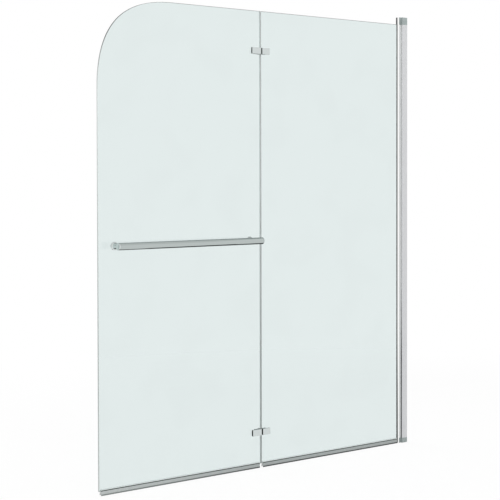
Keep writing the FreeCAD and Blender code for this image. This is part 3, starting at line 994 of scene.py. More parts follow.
def scored(mesh: Mesh, place: float) -> Mesh:
    """Divide a mesh's faces along a plane across X, without parting them.

    Args:
        mesh: The mesh.
        place: Where the plane is.

    Returns:
        The same mesh.
    """
    work = bmesh.new()
    work.from_mesh(mesh)
    every = [*work.verts, *work.edges, *work.faces]
    bmesh.ops.bisect_plane(work, geom=every, plane_co=ALONG_X * place, plane_no=ALONG_X)
    work.to_mesh(mesh)
    work.free()
    return mesh


def extrude(loops: Sequence[Loop], run: Run, low: float, high: float, edge: float) -> Mesh:
    """Push a flat outline, with holes, along one axis and round its end edges.

    Args:
        loops: The outer outline and any holes, in the drawing plane of the run.
        run: The axis.
        low: Where the solid starts on the axis.
        high: Where it ends.
        edge: The radius of the rounding at both ends.

    Returns:
        A closed mesh in place.
    """
    curve = bpy.data.curves.new("section", "CURVE")
    curve.dimensions = "2D"
    curve.fill_mode = "BOTH"
    curve.extrude = (high - low) / 2 - edge
    curve.bevel_depth = edge
    curve.offset = -edge
    curve.bevel_resolution = 2
    for loop in loops:
        spline = curve.splines.new("POLY")
        spline.points.add(len(loop) - 1)
        spline.use_cyclic_u = True
        for point, spot in zip(spline.points, loop):
            point.co = (spot.x, spot.y, 0, 1)
    mesh = plain(bpy.data.objects.new("section", curve))
    bpy.data.curves.remove(curve)
    middle = (low + high) / 2
    mesh.transform(run.value @ Matrix.Translation((0, 0, middle if run is not Run.Y else -middle)))
    return flat_ends(finish_mesh(mesh), run.value.col[2].to_3d())


def lathe(profile: Loop, run: Run, centre: Vector, steps: int = 96) -> Mesh:
    """Turn a profile of (place along the axis, radius) round an axis.

    Args:
        profile: The profile's points, from one end to the other.
        run: The axis.
        centre: A point on the axis, from which the places count.
        steps: Faces round the axis.

    Returns:
        A closed mesh in place.
    """
    work = bmesh.new()
    rings = []
    for spot in profile:
        if spot.y < WELD:
            rings.append([work.verts.new((0, 0, spot.x))])
            continue
        rings.append([work.verts.new((point.x, point.y, spot.x)) for point in ring(0, 0, spot.y, steps)])
    for lower, upper in zip(rings, rings[1:]):
        for index in range(steps):
            after = (index + 1) % steps
            quad = [
                lower[index % len(lower)],
                lower[after % len(lower)],
                upper[after % len(upper)],
                upper[index % len(upper)],
            ]
            work.faces.new(list(dict.fromkeys(quad)))
    mesh = bpy.data.meshes.new("turned")
    work.to_mesh(mesh)
    work.free()
    mesh.transform(Matrix.Translation(centre) @ run.value)
    return finish_mesh(mesh)


def joined(meshes: Sequence[Mesh]) -> Mesh:
    """Put several meshes into one.

    Args:
        meshes: The meshes, which are used up.

    Returns:
        One mesh with all their faces.
    """
    work = bmesh.new()
    for mesh in meshes:
        work.from_mesh(mesh)
    whole = bpy.data.meshes.new("joined")
    work.to_mesh(whole)
    work.free()
    for mesh in meshes:
        bpy.data.meshes.remove(mesh)
    return smoothed(whole)


@dataclass(frozen=True)
class Piece:
    """A new piece of the dressed model and what it stands for."""

    name: str
    body: Body
    slot: Slot
    nodes: tuple[str, ...]

    def place(self, mesh: Mesh, *materials: Material) -> bpy.types.Object:
        """Put a mesh into the scene as this piece.

        Args:
            mesh: The finished mesh, in place.
            materials: Its materials, in the order of its faces' indices.

        Returns:
            The piece's object.
        """
        mesh.name = self.name
        mesh.materials.clear()
        for material in materials:
            mesh.materials.append(material)
        item = put(self.name, mesh)
        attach(item, self.body.value)
        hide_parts(*self.nodes)
        LOG.info("%s: %d faces, rides %s", self.name, len(mesh.polygons), self.body.value)
        return item


def middle_of(node: str) -> Vector:
    """The centre of a node's box."""
    low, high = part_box(node)
    return (low + high) / 2


def half_height(node: str) -> float:
    """Half the height of a node's box, the radius of a round part that lies level."""
    low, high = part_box(node)
    return (high.z - low.z) / 2


def node_ends(node: str, axis: int, other: int) -> tuple[float, float]:
    """The centres of two round solids at the ends of a node's box.

    Args:
        node: A node that holds equal round solids.
        axis: The axis that they are apart on.
        other: An axis across it, on which the box is as wide as one solid.

    Returns:
        The lower and the higher centre.
    """
    low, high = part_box(node)
    radius = (high[other] - low[other]) / 2
    return low[axis] + radius, high[axis] - radius


# Screws


@dataclass
class ScrewTree(Wiring):
    """The nodes that turn a screw's outline round its axis and set the screw on points."""

    faces_round: int = 48

    def chosen(self, row: Socket, values: Sequence[Value]) -> Socket:
        """Choose one value for each point of the outline.

        Args:
            row: The grid's row, which is the number of the outline's point.
            values: The values in the outline's order.

        Returns:
            The row's value.
        """
        choice = self.node("GeometryNodeIndexSwitch", data_type="FLOAT")
        while len(choice.index_switch_items) < len(values):
            choice.index_switch_items.new()
        self.feed(choice.inputs["Index"], row)
        for place, value in enumerate(values, 1):
            self.feed(choice.inputs[place], value)
        return choice.outputs["Output"]

    def screw(self, start: Node) -> Socket:
        """Make one screw that points down, with the middle of its head's outer face at the origin.

        Args:
            start: The tree's input node, which holds the sizes.

        Returns:
            The screw's mesh.
        """
        top, seat, head, shank, length, socket, depth = (start.outputs[label] for label in SCREW_SIZES)
        across = self.faces_round + 1
        index = self.node("GeometryNodeInputIndex").outputs["Index"]
        row = self.worked("FLOOR", self.worked("DIVIDE", index, across))
        turn = self.worked("MULTIPLY", self.worked("MODULO", index, across), math.tau / self.faces_round)
        side = math.tau / 6
        lean = self.worked("SUBTRACT", self.worked("MODULO", turn, side), side / 2)
        flats = self.worked("MULTIPLY", socket, math.cos(side / 2))
        hexagon = self.worked("DIVIDE", flats, self.worked("COSINE", lean))
        radii = (0.0, hexagon, hexagon, top, seat, shank, shank, 0.0)
        drops = (depth, depth, 0.0, 0.0, head, head, length, length)
        radius = self.chosen(row, radii)
        spot = {
            "X": self.worked("MULTIPLY", radius, self.worked("COSINE", turn)),
            "Y": self.worked("MULTIPLY", radius, self.worked("SINE", turn)),
            "Z": self.worked("MULTIPLY", self.chosen(row, drops), -1.0),
        }
        spots = self.node("ShaderNodeCombineXYZ", spot).outputs["Vector"]
        grid = self.node("GeometryNodeMeshGrid", {"Vertices X": len(radii), "Vertices Y": across})
        turned = self.node("GeometryNodeSetPosition", {"Geometry": grid.outputs["Mesh"], "Position": spots})
        feeds = {"Geometry": turned.outputs["Geometry"], "Distance": WELD}
        return self.node("GeometryNodeMergeByDistance", feeds).outputs["Geometry"]

    def build(self) -> None:
        """Lay out the tree, with the screw's sizes and its material as named inputs."""
        kinds = {"Geometry": "NodeSocketGeometry"}
        kinds.update({label: "NodeSocketFloat" for label in SCREW_SIZES})
        kinds["Material"] = "NodeSocketMaterial"
        for label, kind in kinds.items():
            self.tree.interface.new_socket(label, in_out="INPUT", socket_type=kind)
        self.tree.interface.new_socket("Geometry", in_out="OUTPUT", socket_type="NodeSocketGeometry")
        start = self.node("NodeGroupInput")
        heading = self.node("GeometryNodeInputNamedAttribute", {"Name": HEADING}, data_type="FLOAT_VECTOR")
        way = {"Vector": heading.outputs["Attribute"]}
        aim = self.node("FunctionNodeAlignRotationToVector", way, axis="Z")
        feeds = {
            "Points": start.outputs["Geometry"],
            "Instance": self.screw(start),
            "Rotation": aim.outputs["Rotation"],
        }
        spread = self.node("GeometryNodeInstanceOnPoints", feeds)
        real = self.node("GeometryNodeRealizeInstances", {"Geometry": spread.outputs["Instances"]})
        feeds = {"Geometry": real.outputs["Geometry"], "Material": start.outputs["Material"]}
        coat = self.node("GeometryNodeSetMaterial", feeds)
        self.node("NodeGroupOutput", {"Geometry": coat.outputs["Geometry"]})


def screw_tree() -> Tree:
    """The node tree of the screws, built once.

    Returns:
        The tree.
    """
    name = "socket_screws"
    if name not in bpy.data.node_groups:
        ScrewTree(bpy.data.node_groups.new(name, "GeometryNodeTree")).build()
    return bpy.data.node_groups[name]


@dataclass(frozen=True)
class ScrewKind:
    """A screw with a hexagon socket, set at every place of its kind."""

    top_radius: float
    seat_radius: float
    head_depth: float
    shank_radius: float
    length: float
    socket_radius: float
    socket_depth: float

    def sizes(self) -> dict[str, float]:
        """The sizes by the names of the tree's inputs."""
        return {label: getattr(self, label.lower().replace(" ", "_")) for label in SCREW_SIZES}

    def meshes(self, spots: Sequence[Vector], headings: Sequence[Vector], material: Material) -> Mesh:
        """Set the screw at each place.

        Args:
            spots: The middles of the heads' outer faces.
            headings: The way that each head faces.
            material: The screws' material.

        Returns:
            One plain mesh of all the screws.
        """
        points = bpy.data.meshes.new("screw_places")
        points.from_pydata([tuple(spot) for spot in spots], [], [])
        heading = points.attributes.new(HEADING, "FLOAT_VECTOR", "POINT")
        heading.data.foreach_set("vector", [value for way in headings for value in way])
        carrier = bpy.data.objects.new("screw_places", points)
        modifier = carrier.modifiers.new("screws", "NODES")
        modifier.node_group = screw_tree()
        values = {**self.sizes(), "Material": material}
        for item in modifier.node_group.interface.items_tree:
            if item.in_out == "INPUT" and item.name in values:
                modifier[item.identifier] = values[item.name]
        return finish_mesh(plain(carrier))


# The sub-assemblies


@dataclass
class Assembly:
    """A sub-assembly of the screen, with the loaded frame and the materials."""

    frame: dict
    finishes: Finishes

    def dress(self, material: Material, *nodes: str) -> None:
        """Give carried-over nodes their material.

        Args:
            material: The material.
            nodes: The nodes' names.
        """
        for node in nodes:
            for slot in self.frame["nodes"][node].material_slots:
                slot.material = material
            LOG.info("%s: dressed in %s", node, material.name)


@dataclass
class Pane(Assembly):
    """A tempered pane with a ground edge and round holes.

    A face belongs to the edge where its normal's share across the pane is less than face_limit.
    turn_limit is the upward share at which the edge has its second tone, a painted shade, in full.
    """

    node: str
    body: Body
    edge: Material
    holes: list[Place]
    corner_reach: float = 0.0
    corner_pull: float = 0.68
    corner_steps: int = 64
    hole_radius: float = 5.0 * MM
    arris: float = 0.9 * MM
    face_limit: float = 0.98
    turn_limit: float = 0.45

    def build(self) -> None:
        """Make the pane and dress its faces and its edge apart."""
        low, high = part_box(self.node)
        corners = [
            Corner(low.x, low.z),
            Corner(high.x, low.z),
            Corner(high.x, high.z),
            Corner(low.x, high.z, self.corner_reach, self.corner_pull),
        ]
        holes = [ring(x, z, self.hole_radius) for x, z in self.holes]
        mesh = extrude([trace(corners, steps=self.corner_steps), *holes], Run.Y, low.y, high.y, self.arris)
        piece = Piece(self.node + "_pane", self.body, Slot.GLASS, (self.node,))
        item = piece.place(mesh, self.finishes.glass, self.edge)
        # How far each edge face turns up, which sets its painted shade
        turned = item.data.attributes.new(TURNED_UP, "FLOAT", "FACE")
        for face in item.data.polygons:
            face.material_index = int(abs(face.normal.y) < self.face_limit)
            turned.data[face.index].value = min(1.0, max(0.0, face.normal.z / self.turn_limit))


@dataclass
class BottomSeal(Assembly):
    """A clip-on strip with a grey wiping lip in front and a pale drip vane behind.

    A face belongs to an end where its normal's share along the strip is more than end_limit.
    """

    node: str
    body: Body
    pane: str
    leg: float = 0.8 * MM
    bite: float = 5.0 * MM
    web: float = 1.5 * MM
    lip_height: float = 4.0 * MM
    lip_thickness: float = 1.1 * MM
    lip_splay: float = 0.6 * MM
    vane_reach: float = 2.2 * MM
    vane_rise: float = 1.2 * MM
    bend: float = 0.3 * MM
    bend_steps: int = 5
    end_edge: float = 0.1 * MM
    end_limit: float = 0.9

    def section(self) -> Loop:
        """Draw the strip's section.

        Returns:
            The outline, across and up.
        """
        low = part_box(self.node)[0]
        pane_low, pane_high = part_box(self.pane)
        face = pane_high.y
        outer = face + self.leg
        inner = outer - self.lip_thickness
        foot = pane_low.z
        top = foot + self.bite
        lip_top = low.z + self.lip_height
        vane_low = low.z + self.vane_rise
        vane_tip = outer + self.vane_reach
        corners = [
            Corner(-outer, top, self.bend),
            Corner(-outer, lip_top, self.bend),
            Corner(-outer - self.lip_splay, low.z, self.bend),
            Corner(-inner - self.lip_splay, low.z, self.bend),
            Corner(-inner, lip_top, self.bend),
            Corner(-inner, foot - self.web, self.bend),
            Corner(inner, foot - self.web, self.bend),
            Corner(inner, lip_top + self.lip_thickness, self.bend),
            Corner(vane_tip - self.lip_thickness, vane_low, self.bend),
            Corner(vane_tip, vane_low, self.bend),
            Corner(outer, lip_top + self.lip_height, self.bend),
            Corner(outer, top, self.bend),
            Corner(face, top),
            Corner(face, foot),
            Corner(-face, foot),
            Corner(-face, top),
        ]
        return trace(corners, steps=self.bend_steps)

    def build(self) -> None:
        """Make the strip along the pane's lower edge, pale behind, and pale at its cut ends as painted light.
        """
        low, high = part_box(self.node)
        mesh = extrude([self.section()], Run.X, low.x, high.x, self.end_edge)
        piece = Piece(self.node + "_strip", self.body, Slot.GREY_SEAL, (self.node,))
        item = piece.place(mesh, self.finishes.rim_seal, self.finishes.pale_seal)
        # The cut ends take the pale material as painted light in the gap between strips
        for face in item.data.polygons:
            at_end = abs(face.normal.x) > self.end_limit
            face.material_index = int(at_end or face.center.y > 0)


@dataclass
class SeamSeal(Assembly):
    """A clear strip bonded to the outer pane's hinged edge, with a bulb in the gap, broken at the hinges."""

    base: float = 0.8 * MM
    bulb_radius: float = 1.0 * MM
    end_room: float = 0.5 * MM
    end_edge: float = 0.1 * MM
    bend: float = 0.2 * MM

    def section(self) -> Loop:
        """Draw the strip's section.

        Returns:
            The outline of the base with its bulb.
        """
        low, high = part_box("seam_seal")
        foot = low.x + self.base
        bulb = self.bulb_radius
        corners = [
            Corner(low.x, low.y),
            Corner(foot, low.y, self.bend),
            Corner(foot, -bulb, self.bend),
            Corner(high.x, -bulb, bulb),
            Corner(high.x, bulb, bulb),
            Corner(foot, bulb, self.bend),
            Corner(foot, high.y, self.bend),
            Corner(low.x, high.y),
        ]
        return trace(corners)

    def build(self) -> None:
        """Make the three lengths as one piece."""
        low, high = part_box("seam_seal")
        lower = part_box("lower_outer_hinge_plate")
        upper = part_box("upper_outer_hinge_plate")
        spans = (
            (low.z, lower[0].z - self.end_room),
            (lower[1].z + self.end_room, upper[0].z - self.end_room),
            (upper[1].z + self.end_room, high.z),
        )
        lengths = [extrude([self.section()], Run.Z, foot, head, self.end_edge) for foot, head in spans]
        piece = Piece("seam_strip", Body.OUTER_PANEL, Slot.CLEAR_SEAL, ("seam_seal",))
        piece.place(joined(lengths), self.finishes.clear_seal)


@dataclass
class GlassHinges(Assembly):
    """Two glass-to-glass hinges: front plates, back leaves, pads, screws and pins."""

    plate_corner: float = 2.0 * MM
    corner_steps: int = 10
    plate_edge: float = 0.45 * MM
    plate_rim: float = 1.2 * MM
    screw: ScrewKind = ScrewKind(
        top_radius=4.5 * MM,
        seat_radius=2.4 * MM,
        head_depth=2.1 * MM,
        shank_radius=2.4 * MM,
        length=14.5 * MM,
        socket_radius=1.75 * MM,
        socket_depth=1.6 * MM,
    )

    def plate(self, node: str, body: Body) -> None:
        """Make one front plate with rounded edges and a painted dark reflection on its left side.

        Args:
            node: The plate's node.
            body: The body that it rides on.
        """
        low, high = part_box(node)
        spots = ((low.x, low.z), (high.x, low.z), (high.x, high.z), (low.x, high.z))
        outline = trace([Corner(x, z, self.plate_corner) for x, z in spots], steps=self.corner_steps)
        mesh = extrude([outline], Run.Y, low.y, high.y, self.plate_edge)
        rim = low.x + self.plate_rim
        mesh = scored(flat_ends(mesh, ALONG_X, ALONG_Z), rim)
        piece = Piece(node + "_face", body, Slot.CHROME, (node,))
        item = piece.place(mesh, self.finishes.chrome, self.finishes.plate_rim)
        # The left rim takes the painted dark reflection
        for face in item.data.polygons:
            face.material_index = int(face.center.x < rim)

    def screws(self, node: str, body: Body) -> None:
        """Set the countersunk screws of one panel.

        Args:
            node: The screws' node.
            body: The body that they ride on.
        """
        x_place = middle_of(node).x
        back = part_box(node)[1].y
        spots = [Vector((x_place, back, z)) for z in node_ends(node, AXIS_Z, AXIS_X)]
        mesh = self.screw.meshes(spots, [ALONG_Y] * len(spots), self.finishes.steel)
        Piece(node + "_heads", body, Slot.STEEL, (node,)).place(mesh, self.finishes.steel)

    def build(self) -> None:
        """Make both hinges."""
        for panel, body in (("inner", Body.INNER_PANEL), ("outer", Body.OUTER_PANEL)):
            for level in ("upper", "lower"):
                self.plate(f"{level}_{panel}_hinge_plate", body)
                self.dress(self.finishes.chrome, f"{level}_{panel}_hinge_leaf")
            self.screws(f"{panel}_hinge_screws", body)
            self.dress(self.finishes.pad, f"{panel}_hinge_pads")
            self.dress(self.finishes.bearing, f"{panel}_hinge_sleeves")
        self.dress(self.finishes.bearing, "hinge_bushes")
        self.dress(self.finishes.steel, "upper_hinge_pin", "lower_hinge_pin")


@dataclass
class TowelBar(Assembly):
    """A round bar on two turned posts, closed by two end caps, with round nuts behind the glass.

    The flare's values are shares of how far the flange stands out from its post.
    """

    bar_faces: int = 128
    cap_edge: float = 1.2 * MM
    seam: float = 0.15 * MM
    seam_steps: int = 3
    post_radius: float = 7.5 * MM
    flange_thickness: float = 2.0 * MM
    flange_edge: float = 0.6 * MM
    flare_rise: float = 0.35
    flare_width: float = 0.3
    flare_bend: float = 0.5
    disc_edge: float = 0.9 * MM

    def bar(self) -> None:
        """Make the tube between its caps."""
        low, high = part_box("towel_bar")
        profile = drum(low.x, high.x, half_height("towel_bar"), self.seam, self.seam, self.seam_steps)
        centre = Vector((0, *middle_of("towel_bar").yz))
        piece = Piece("towel_bar_tube", Body.OUTER_PANEL, Slot.CHROME, ("towel_bar",))
        piece.place(lathe(profile, Run.X, centre, self.bar_faces), self.finishes.bar_chrome)

    def cap(self, node: str, end: float, joint: float, metal: Material) -> None:
        """Make one end cap.

        Args:
            node: The cap's node.
            end: Where its free face is.
            joint: Where it meets the tube.
            metal: The cap's material.
        """
        profile = drum(end, joint, half_height(node), self.cap_edge, self.seam)
        centre = Vector((0, *middle_of(node).yz))
        mesh = flat_ends(lathe(profile, Run.X, centre, self.bar_faces), ALONG_X)
        Piece(node + "_end", Body.OUTER_PANEL, Slot.CHROME, (node,)).place(mesh, metal)

    def post(self, node: str, metal: Material) -> None:
        """Make one post, from its flange at the glass to a saddle on the bar.

        Args:
            node: The post's node.
            metal: The post's material.
        """
        low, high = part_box(node)
        bar_radius = half_height("towel_bar")
        bar_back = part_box("towel_bar")[1].y
        bar_middle = bar_back - bar_radius
        flange = (high.x - low.x) / 2
        flare = flange - self.post_radius
        seat = -high.y
        rim = seat + self.flange_thickness
        reach = bar_radius - bar_back
        step = flare * self.flare_width
        corners = [
            Corner(seat, 0),
            Corner(seat, flange, self.flange_edge),
            Corner(rim, flange, self.flange_edge),
            Corner(rim + flare * self.flare_rise, self.post_radius + step, step),
            Corner(rim + flare, self.post_radius, flare * self.flare_bend),
            Corner(reach, self.post_radius),
            Corner(reach, 0),
        ]
        centre = Vector((middle_of(node).x, 0, middle_of(node).z))
        mesh = lathe(trace(corners, closed=False), Run.Y, centre)
        for vertex in mesh.vertices:
            if vertex.co.y < bar_middle + bar_radius / 2:
                side = vertex.co.z - centre.z
                vertex.co.y = bar_middle + math.sqrt(bar_radius**2 - side**2)
        mesh.update()
        Piece(node + "_turned", Body.OUTER_PANEL, Slot.CHROME, (node,)).place(mesh, metal)

    def discs(self) -> None:
        """Make the two round nuts behind the glass."""
        node = "bar_back_discs"
        low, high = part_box(node)
        profile = drum(-low.y, -high.y, half_height(node), self.seam, self.disc_edge)
        level = middle_of(node).z
        meshes = [lathe(profile, Run.Y, Vector((x, 0, level))) for x in node_ends(node, AXIS_X, AXIS_Z)]
        piece = Piece("bar_back_nuts", Body.OUTER_PANEL, Slot.CHROME, (node,))
        piece.place(joined(meshes), self.finishes.chrome)

    def build(self) -> None:
        """Make the bar and its fixings."""
        tube_low, tube_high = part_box("towel_bar")
        # Painted shade and highlight: the bar and the right cap and post take the darker chrome copy, the
        # left cap and post the bright chrome as a painted highlight
        self.bar()
        self.cap("left_bar_cap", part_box("left_bar_cap")[0].x, tube_low.x, self.finishes.chrome)
        self.cap("right_bar_cap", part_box("right_bar_cap")[1].x, tube_high.x, self.finishes.bar_chrome)
        self.post("left_bar_post", self.finishes.chrome)
        self.post("right_bar_post", self.finishes.bar_chrome)
        self.discs()
        self.dress(self.finishes.pad, "bar_washers")
        self.dress(self.finishes.bearing, "bar_sleeves")
        self.dress(self.finishes.steel, "bar_studs")


@dataclass
class WallPost(Assembly):
    """The channel on the wall, the adjusting profile, the bearing caps and the turning profile."""

    cap_screw: ScrewKind = ScrewKind(
        top_radius=2.3 * MM,
        seat_radius=2.8 * MM,
        head_depth=1.8 * MM,
        shank_radius=1.45 * MM,
        length=20.0 * MM,
        socket_radius=1.4 * MM,
        socket_depth=1.0 * MM,
    )
    lock_screw: ScrewKind = ScrewKind(
        top_radius=3.2 * MM,
        seat_radius=1.9 * MM,
        head_depth=1.3 * MM,
        shank_radius=1.9 * MM,
        length=7.0 * MM,
        socket_radius=1.3 * MM,
        socket_depth=0.9 * MM,
    )

    def cap_screws(self) -> None:
        """Set the screws in both bearing caps."""
        node = "cap_screws"
        low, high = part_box(node)
        x_place = middle_of(node).x
        sides = node_ends(node, AXIS_Y, AXIS_X)
        spots = [Vector((x_place, y, level)) for level in (low.z, high.z) for y in sides]
        headings = [-ALONG_Z, -ALONG_Z, ALONG_Z, ALONG_Z]
        mesh = self.cap_screw.meshes(spots, headings, self.finishes.steel)
        Piece("cap_screw_set", Body.WALL_POST, Slot.STEEL, (node,)).place(mesh, self.finishes.steel)

    def lock_screws(self) -> None:
        """Set the screws that lock the adjusting profile."""
        node = "adjusting_screws"
        x_place = middle_of(node).x
        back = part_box(node)[1].y
        lower, upper = node_ends(node, AXIS_Z, AXIS_X)
        spots = [Vector((x_place, back, level)) for level in (lower, (lower + upper) / 2, upper)]
        mesh = self.lock_screw.meshes(spots, [ALONG_Y] * len(spots), self.finishes.steel)
        Piece("adjusting_screw_set", Body.WALL_POST, Slot.STEEL, (node,)).place(mesh, self.finishes.steel)

    def build(self) -> None:
        """Make the post."""
        self.dress(self.finishes.satin_profile, "wall_channel")
        # The adjusting profile and the post seal take the recess's painted shade
        self.dress(self.finishes.recess, "adjusting_profile", "post_seal")
        self.dress(self.finishes.clamp_profile, "pivot_profile")
        self.dress(self.finishes.cap, "top_bearing_cap", "bottom_bearing_cap")
        self.dress(self.finishes.steel, "top_pivot_pin", "bottom_pivot_pin")
        self.dress(self.finishes.bearing, "upper_pivot_bush", "lower_pivot_bush")
        self.dress(self.finishes.gasket, "glazing_gasket")
        self.cap_screws()
        self.lock_screws()


# The studio


@dataclass(frozen=True)
class Card:
    """A flat grey card that only metal mirrors, straight or through the glass.

    nearest is how far away a surface must be to mirror it.
    """

    name: str
    corners: Sequence[Triple]
    grey: float
    nearest: float = 0.0

    def hang(self) -> None:
        """Put the card into the scene."""
        material = bpy.data.materials.new(self.name)
        material.use_nodes = True
        wires = Wiring(material.node_tree)
        glow = wires.node("ShaderNodeEmission", {"Color": grey(self.grey)})
        clear = wires.node("ShaderNodeBsdfTransparent")
        path = wires.node("ShaderNodeLightPath").outputs
        mirrored = wires.worked("SUBTRACT", path["Glossy Depth"], path["Is Singular Ray"], clamp=True)
        away = wires.worked("GREATER_THAN", path["Ray Length"], self.nearest)
        shown = wires.worked("MULTIPLY", mirrored, away)
        wires.surface(shown, clear.outputs["BSDF"], glow.outputs["Emission"])
        item = sheet(self.name, self.corners, material)
        item.visible_camera = False
        item.visible_diffuse = False
        item.visible_shadow = False


@dataclass(frozen=True)
class Lamp:
    """A soft square lamp, not seen itself."""

    name: str
    spot: Triple
    size: float
    power: float

    def hang(self, target: Vector) -> None:
        """Put the lamp into the scene.

        Args:
            target: What it faces.
        """
        light = bpy.data.lights.new(self.name, "AREA")
        light.size = self.size
        light.energy = self.power
        item = put(self.name, light)
        item.location = self.spot
        item.rotation_euler = (target - Vector(self.spot)).to_track_quat("-Z", "Y").to_euler()
        item.visible_camera = False
        item.visible_glossy = False
        item.visible_transmission = False


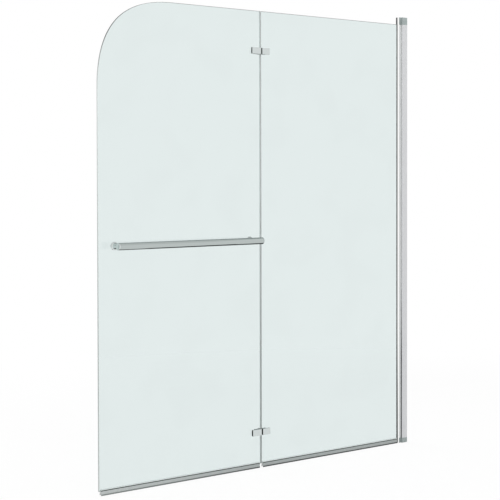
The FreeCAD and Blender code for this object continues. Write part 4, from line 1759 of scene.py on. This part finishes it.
@dataclass
class Studio:
    """The pale floor, the soft lamps, the cards, the white surround and the camera.

    The back, near and far values are the sides of the card behind the screen and of the two on the floor.
    """

    world_light: float = 0.5
    floor_side: float = 30.0
    floor_drop: float = 0.5 * MM
    floor_grey: float = 0.9
    floor_roughness: float = 0.9
    floor_glow: float = 0.9
    glow_start: float = 0.8
    glow_end: float = 2.4
    room_right: float = 4.0
    room_back: float = 2.0
    room_head: float = 4.0
    ceiling_left: float = -6.0
    ceiling_front: float = -5.0
    back_left: float = -2.4
    back_step: float = -1.0
    back_step_head: float = 1.75
    card_level: float = 3.0 * MM
    near_left: float = -1.3
    near_front: float = 30.0 * MM
    near_back: float = 0.7
    tongue_left: float = -0.75
    tongue_front: float = -120.0 * MM
    far_left: float = -0.87
    far_back_left: float = -2.1
    lamp_target: Triple = (-0.6, 0.0, 0.7)
    lamps: tuple[Lamp, ...] = (
        Lamp("key_lamp", (-2.6, -3.2, 3.4), size=2.5, power=66.0),
        Lamp("fill_lamp", (2.2, -3.0, 2.4), size=2.5, power=30.0),
        Lamp("back_lamp", (-0.6, 3.4, 3.0), size=2.5, power=45.0),
        Lamp("top_lamp", (-0.6, 0.0, 4.2), size=3.0, power=45.0),
    )
    camera_spot: Triple = (-3.2082, -3.1322, 0.8828)
    camera_yaw: float = math.radians(39.126)
    camera_pitch: float = math.radians(1.184)
    camera_roll: float = math.radians(-0.113)
    focal_share: float = 1348.5 / IMAGE_SIDE
    axis_share: float = 203.31 / IMAGE_SIDE
    sensor: float = 36.0
    sight: float = 100.0

    def surround(self) -> None:
        """Make the world: white to look at, softer as a light."""
        world = bpy.data.worlds.new("white_surround")
        world.use_nodes = True
        bpy.context.scene.world = world
        wires = Wiring(world.node_tree)
        lamp = wires.tree.nodes["Background"]
        wires.feed(lamp.inputs["Color"], grey(1.0))
        wires.feed(lamp.inputs["Strength"], self.world_light)
        seen = wires.node("ShaderNodeBackground", {"Color": grey(1.0), "Strength": 1.0})
        wires.surface(wires.seen_directly(), lamp.outputs["Background"], seen.outputs["Background"])

    def floor(self) -> None:
        """Make the floor, white to look at but still with the object's shadow."""
        half = self.floor_side / 2
        spots = [(-half, -half), (half, -half), (half, half), (-half, half)]
        paint = Paint("pale_floor")
        paint.give("Base Color", grey(self.floor_grey))
        paint.give("Roughness", self.floor_roughness)
        glow = paint.node("ShaderNodeEmission", {"Strength": 1.0})
        distance = paint.node("ShaderNodeVectorMath", {0: paint.place}, operation="LENGTH").outputs["Value"]
        fade = paint.ranged(distance, self.glow_start, self.glow_end, low=self.floor_glow, soft=True)
        share = paint.worked("MULTIPLY", paint.seen_directly(), fade)
        paint.surface(share, paint.shader.outputs["BSDF"], glow.outputs["Emission"])
        ground = sheet("floor", [(x, y, -self.floor_drop) for x, y in spots], paint.material)

    def cards(self) -> list[Card]:
        """The cards behind the screen, over it and on the floor.

        Returns:
            The cards, with a tongue of the nearer floor card under the inner pane.
        """
        right = self.room_right
        back = self.room_back
        head = self.room_head
        level = self.card_level
        back_outline = [
            (self.back_left, 0.0),
            (right, 0.0),
            (right, head),
            (self.back_step, head),
            (self.back_step, self.back_step_head),
            (self.back_left, self.back_step_head),
        ]
        ceiling_outline = [
            (self.ceiling_left, self.ceiling_front),
            (right, self.ceiling_front),
            (right, back),
            (self.ceiling_left, back),
        ]
        near_outline = [
            (self.near_left, self.near_front),
            (self.tongue_left, self.near_front),
            (self.tongue_left, self.tongue_front),
            (0.0, self.tongue_front),
            (0.0, self.near_front),
            (right, self.near_front),
            (right, self.near_back),
            (self.near_left, self.near_back),
        ]
        far_outline = [
            (self.far_left, self.near_back),
            (right, self.near_back),
            (right, back),
            (self.far_back_left, back),
        ]
        return [
            Card("back_card", [(x, back, z) for x, z in back_outline], grey=0.42),
            Card("ceiling_card", [(x, y, head) for x, y in ceiling_outline], grey=0.85),
            Card("near_floor_card", [(x, y, level) for x, y in near_outline], grey=0.1, nearest=0.3),
            Card("far_floor_card", [(x, y, level) for x, y in far_outline], grey=0.04),
        ]

    def camera(self) -> None:
        """Set the camera at the photograph's angle."""
        yaw = self.camera_yaw
        pitch = self.camera_pitch
        roll = self.camera_roll
        ahead = Vector((math.sin(yaw) * math.cos(pitch), math.cos(yaw) * math.cos(pitch), -math.sin(pitch)))
        level = Vector((math.cos(yaw), -math.sin(yaw), 0))
        upright = level.cross(ahead)
        right = level * math.cos(roll) + upright * math.sin(roll)
        up = right.cross(ahead)
        turn = Matrix((right, up, -ahead)).transposed().to_4x4()
        lens = bpy.data.cameras.new("camera")
        lens.sensor_width = self.sensor
        lens.lens = self.focal_share * self.sensor
        lens.shift_y = self.axis_share - 0.5
        lens.clip_end = self.sight
        item = put("camera", lens)
        item.matrix_world = Matrix.Translation(self.camera_spot) @ turn
        bpy.context.scene.camera = item

    def build(self) -> None:
        """Set up the whole studio."""
        bpy.context.scene.view_settings.view_transform = "Standard"
        self.surround()
        self.floor()
        for card in self.cards():
            card.hang()
        for lamp in self.lamps:
            lamp.hang(Vector(self.lamp_target))
        self.camera()
        LOG.info("studio ready")


def hinge_holes(side: str) -> list[Place]:
    """The places of a pane's hinge holes, across and up."""
    node = f"{side}_hinge_sleeves"
    return [(middle_of(node).x, level) for level in node_ends(node, AXIS_Z, AXIS_X)]


def bar_holes() -> list[Place]:
    """The places of the outer pane's holes for the bar, across and up."""
    level = middle_of("bar_sleeves").z
    return [(x, level) for x in node_ends("bar_sleeves", AXIS_X, AXIS_Z)]


def main() -> None:
    """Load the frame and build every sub-assembly."""
    logging.basicConfig(level=logging.INFO, format="%(name)s: %(message)s")
    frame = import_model()
    finishes = Finishes()
    WallPost(frame, finishes).build()
    # The inner pane's edge at the seam takes the darker copy, as painted shade
    Pane(
        frame, finishes, "inner_glass", Body.INNER_PANEL, edge=finishes.seam_edge, holes=hinge_holes("inner")
    ).build()
    Pane(
        frame,
        finishes,
        "outer_glass",
        Body.OUTER_PANEL,
        edge=finishes.free_edge,
        holes=hinge_holes("outer") + bar_holes(),
        corner_reach=252.0 * MM,
    ).build()
    BottomSeal(frame, finishes, "inner_bottom_seal", Body.INNER_PANEL, pane="inner_glass").build()
    BottomSeal(frame, finishes, "outer_bottom_seal", Body.OUTER_PANEL, pane="outer_glass").build()
    SeamSeal(frame, finishes).build()
    GlassHinges(frame, finishes).build()
    TowelBar(frame, finishes).build()
    Studio().build()


if __name__ == "__main__":
    main()
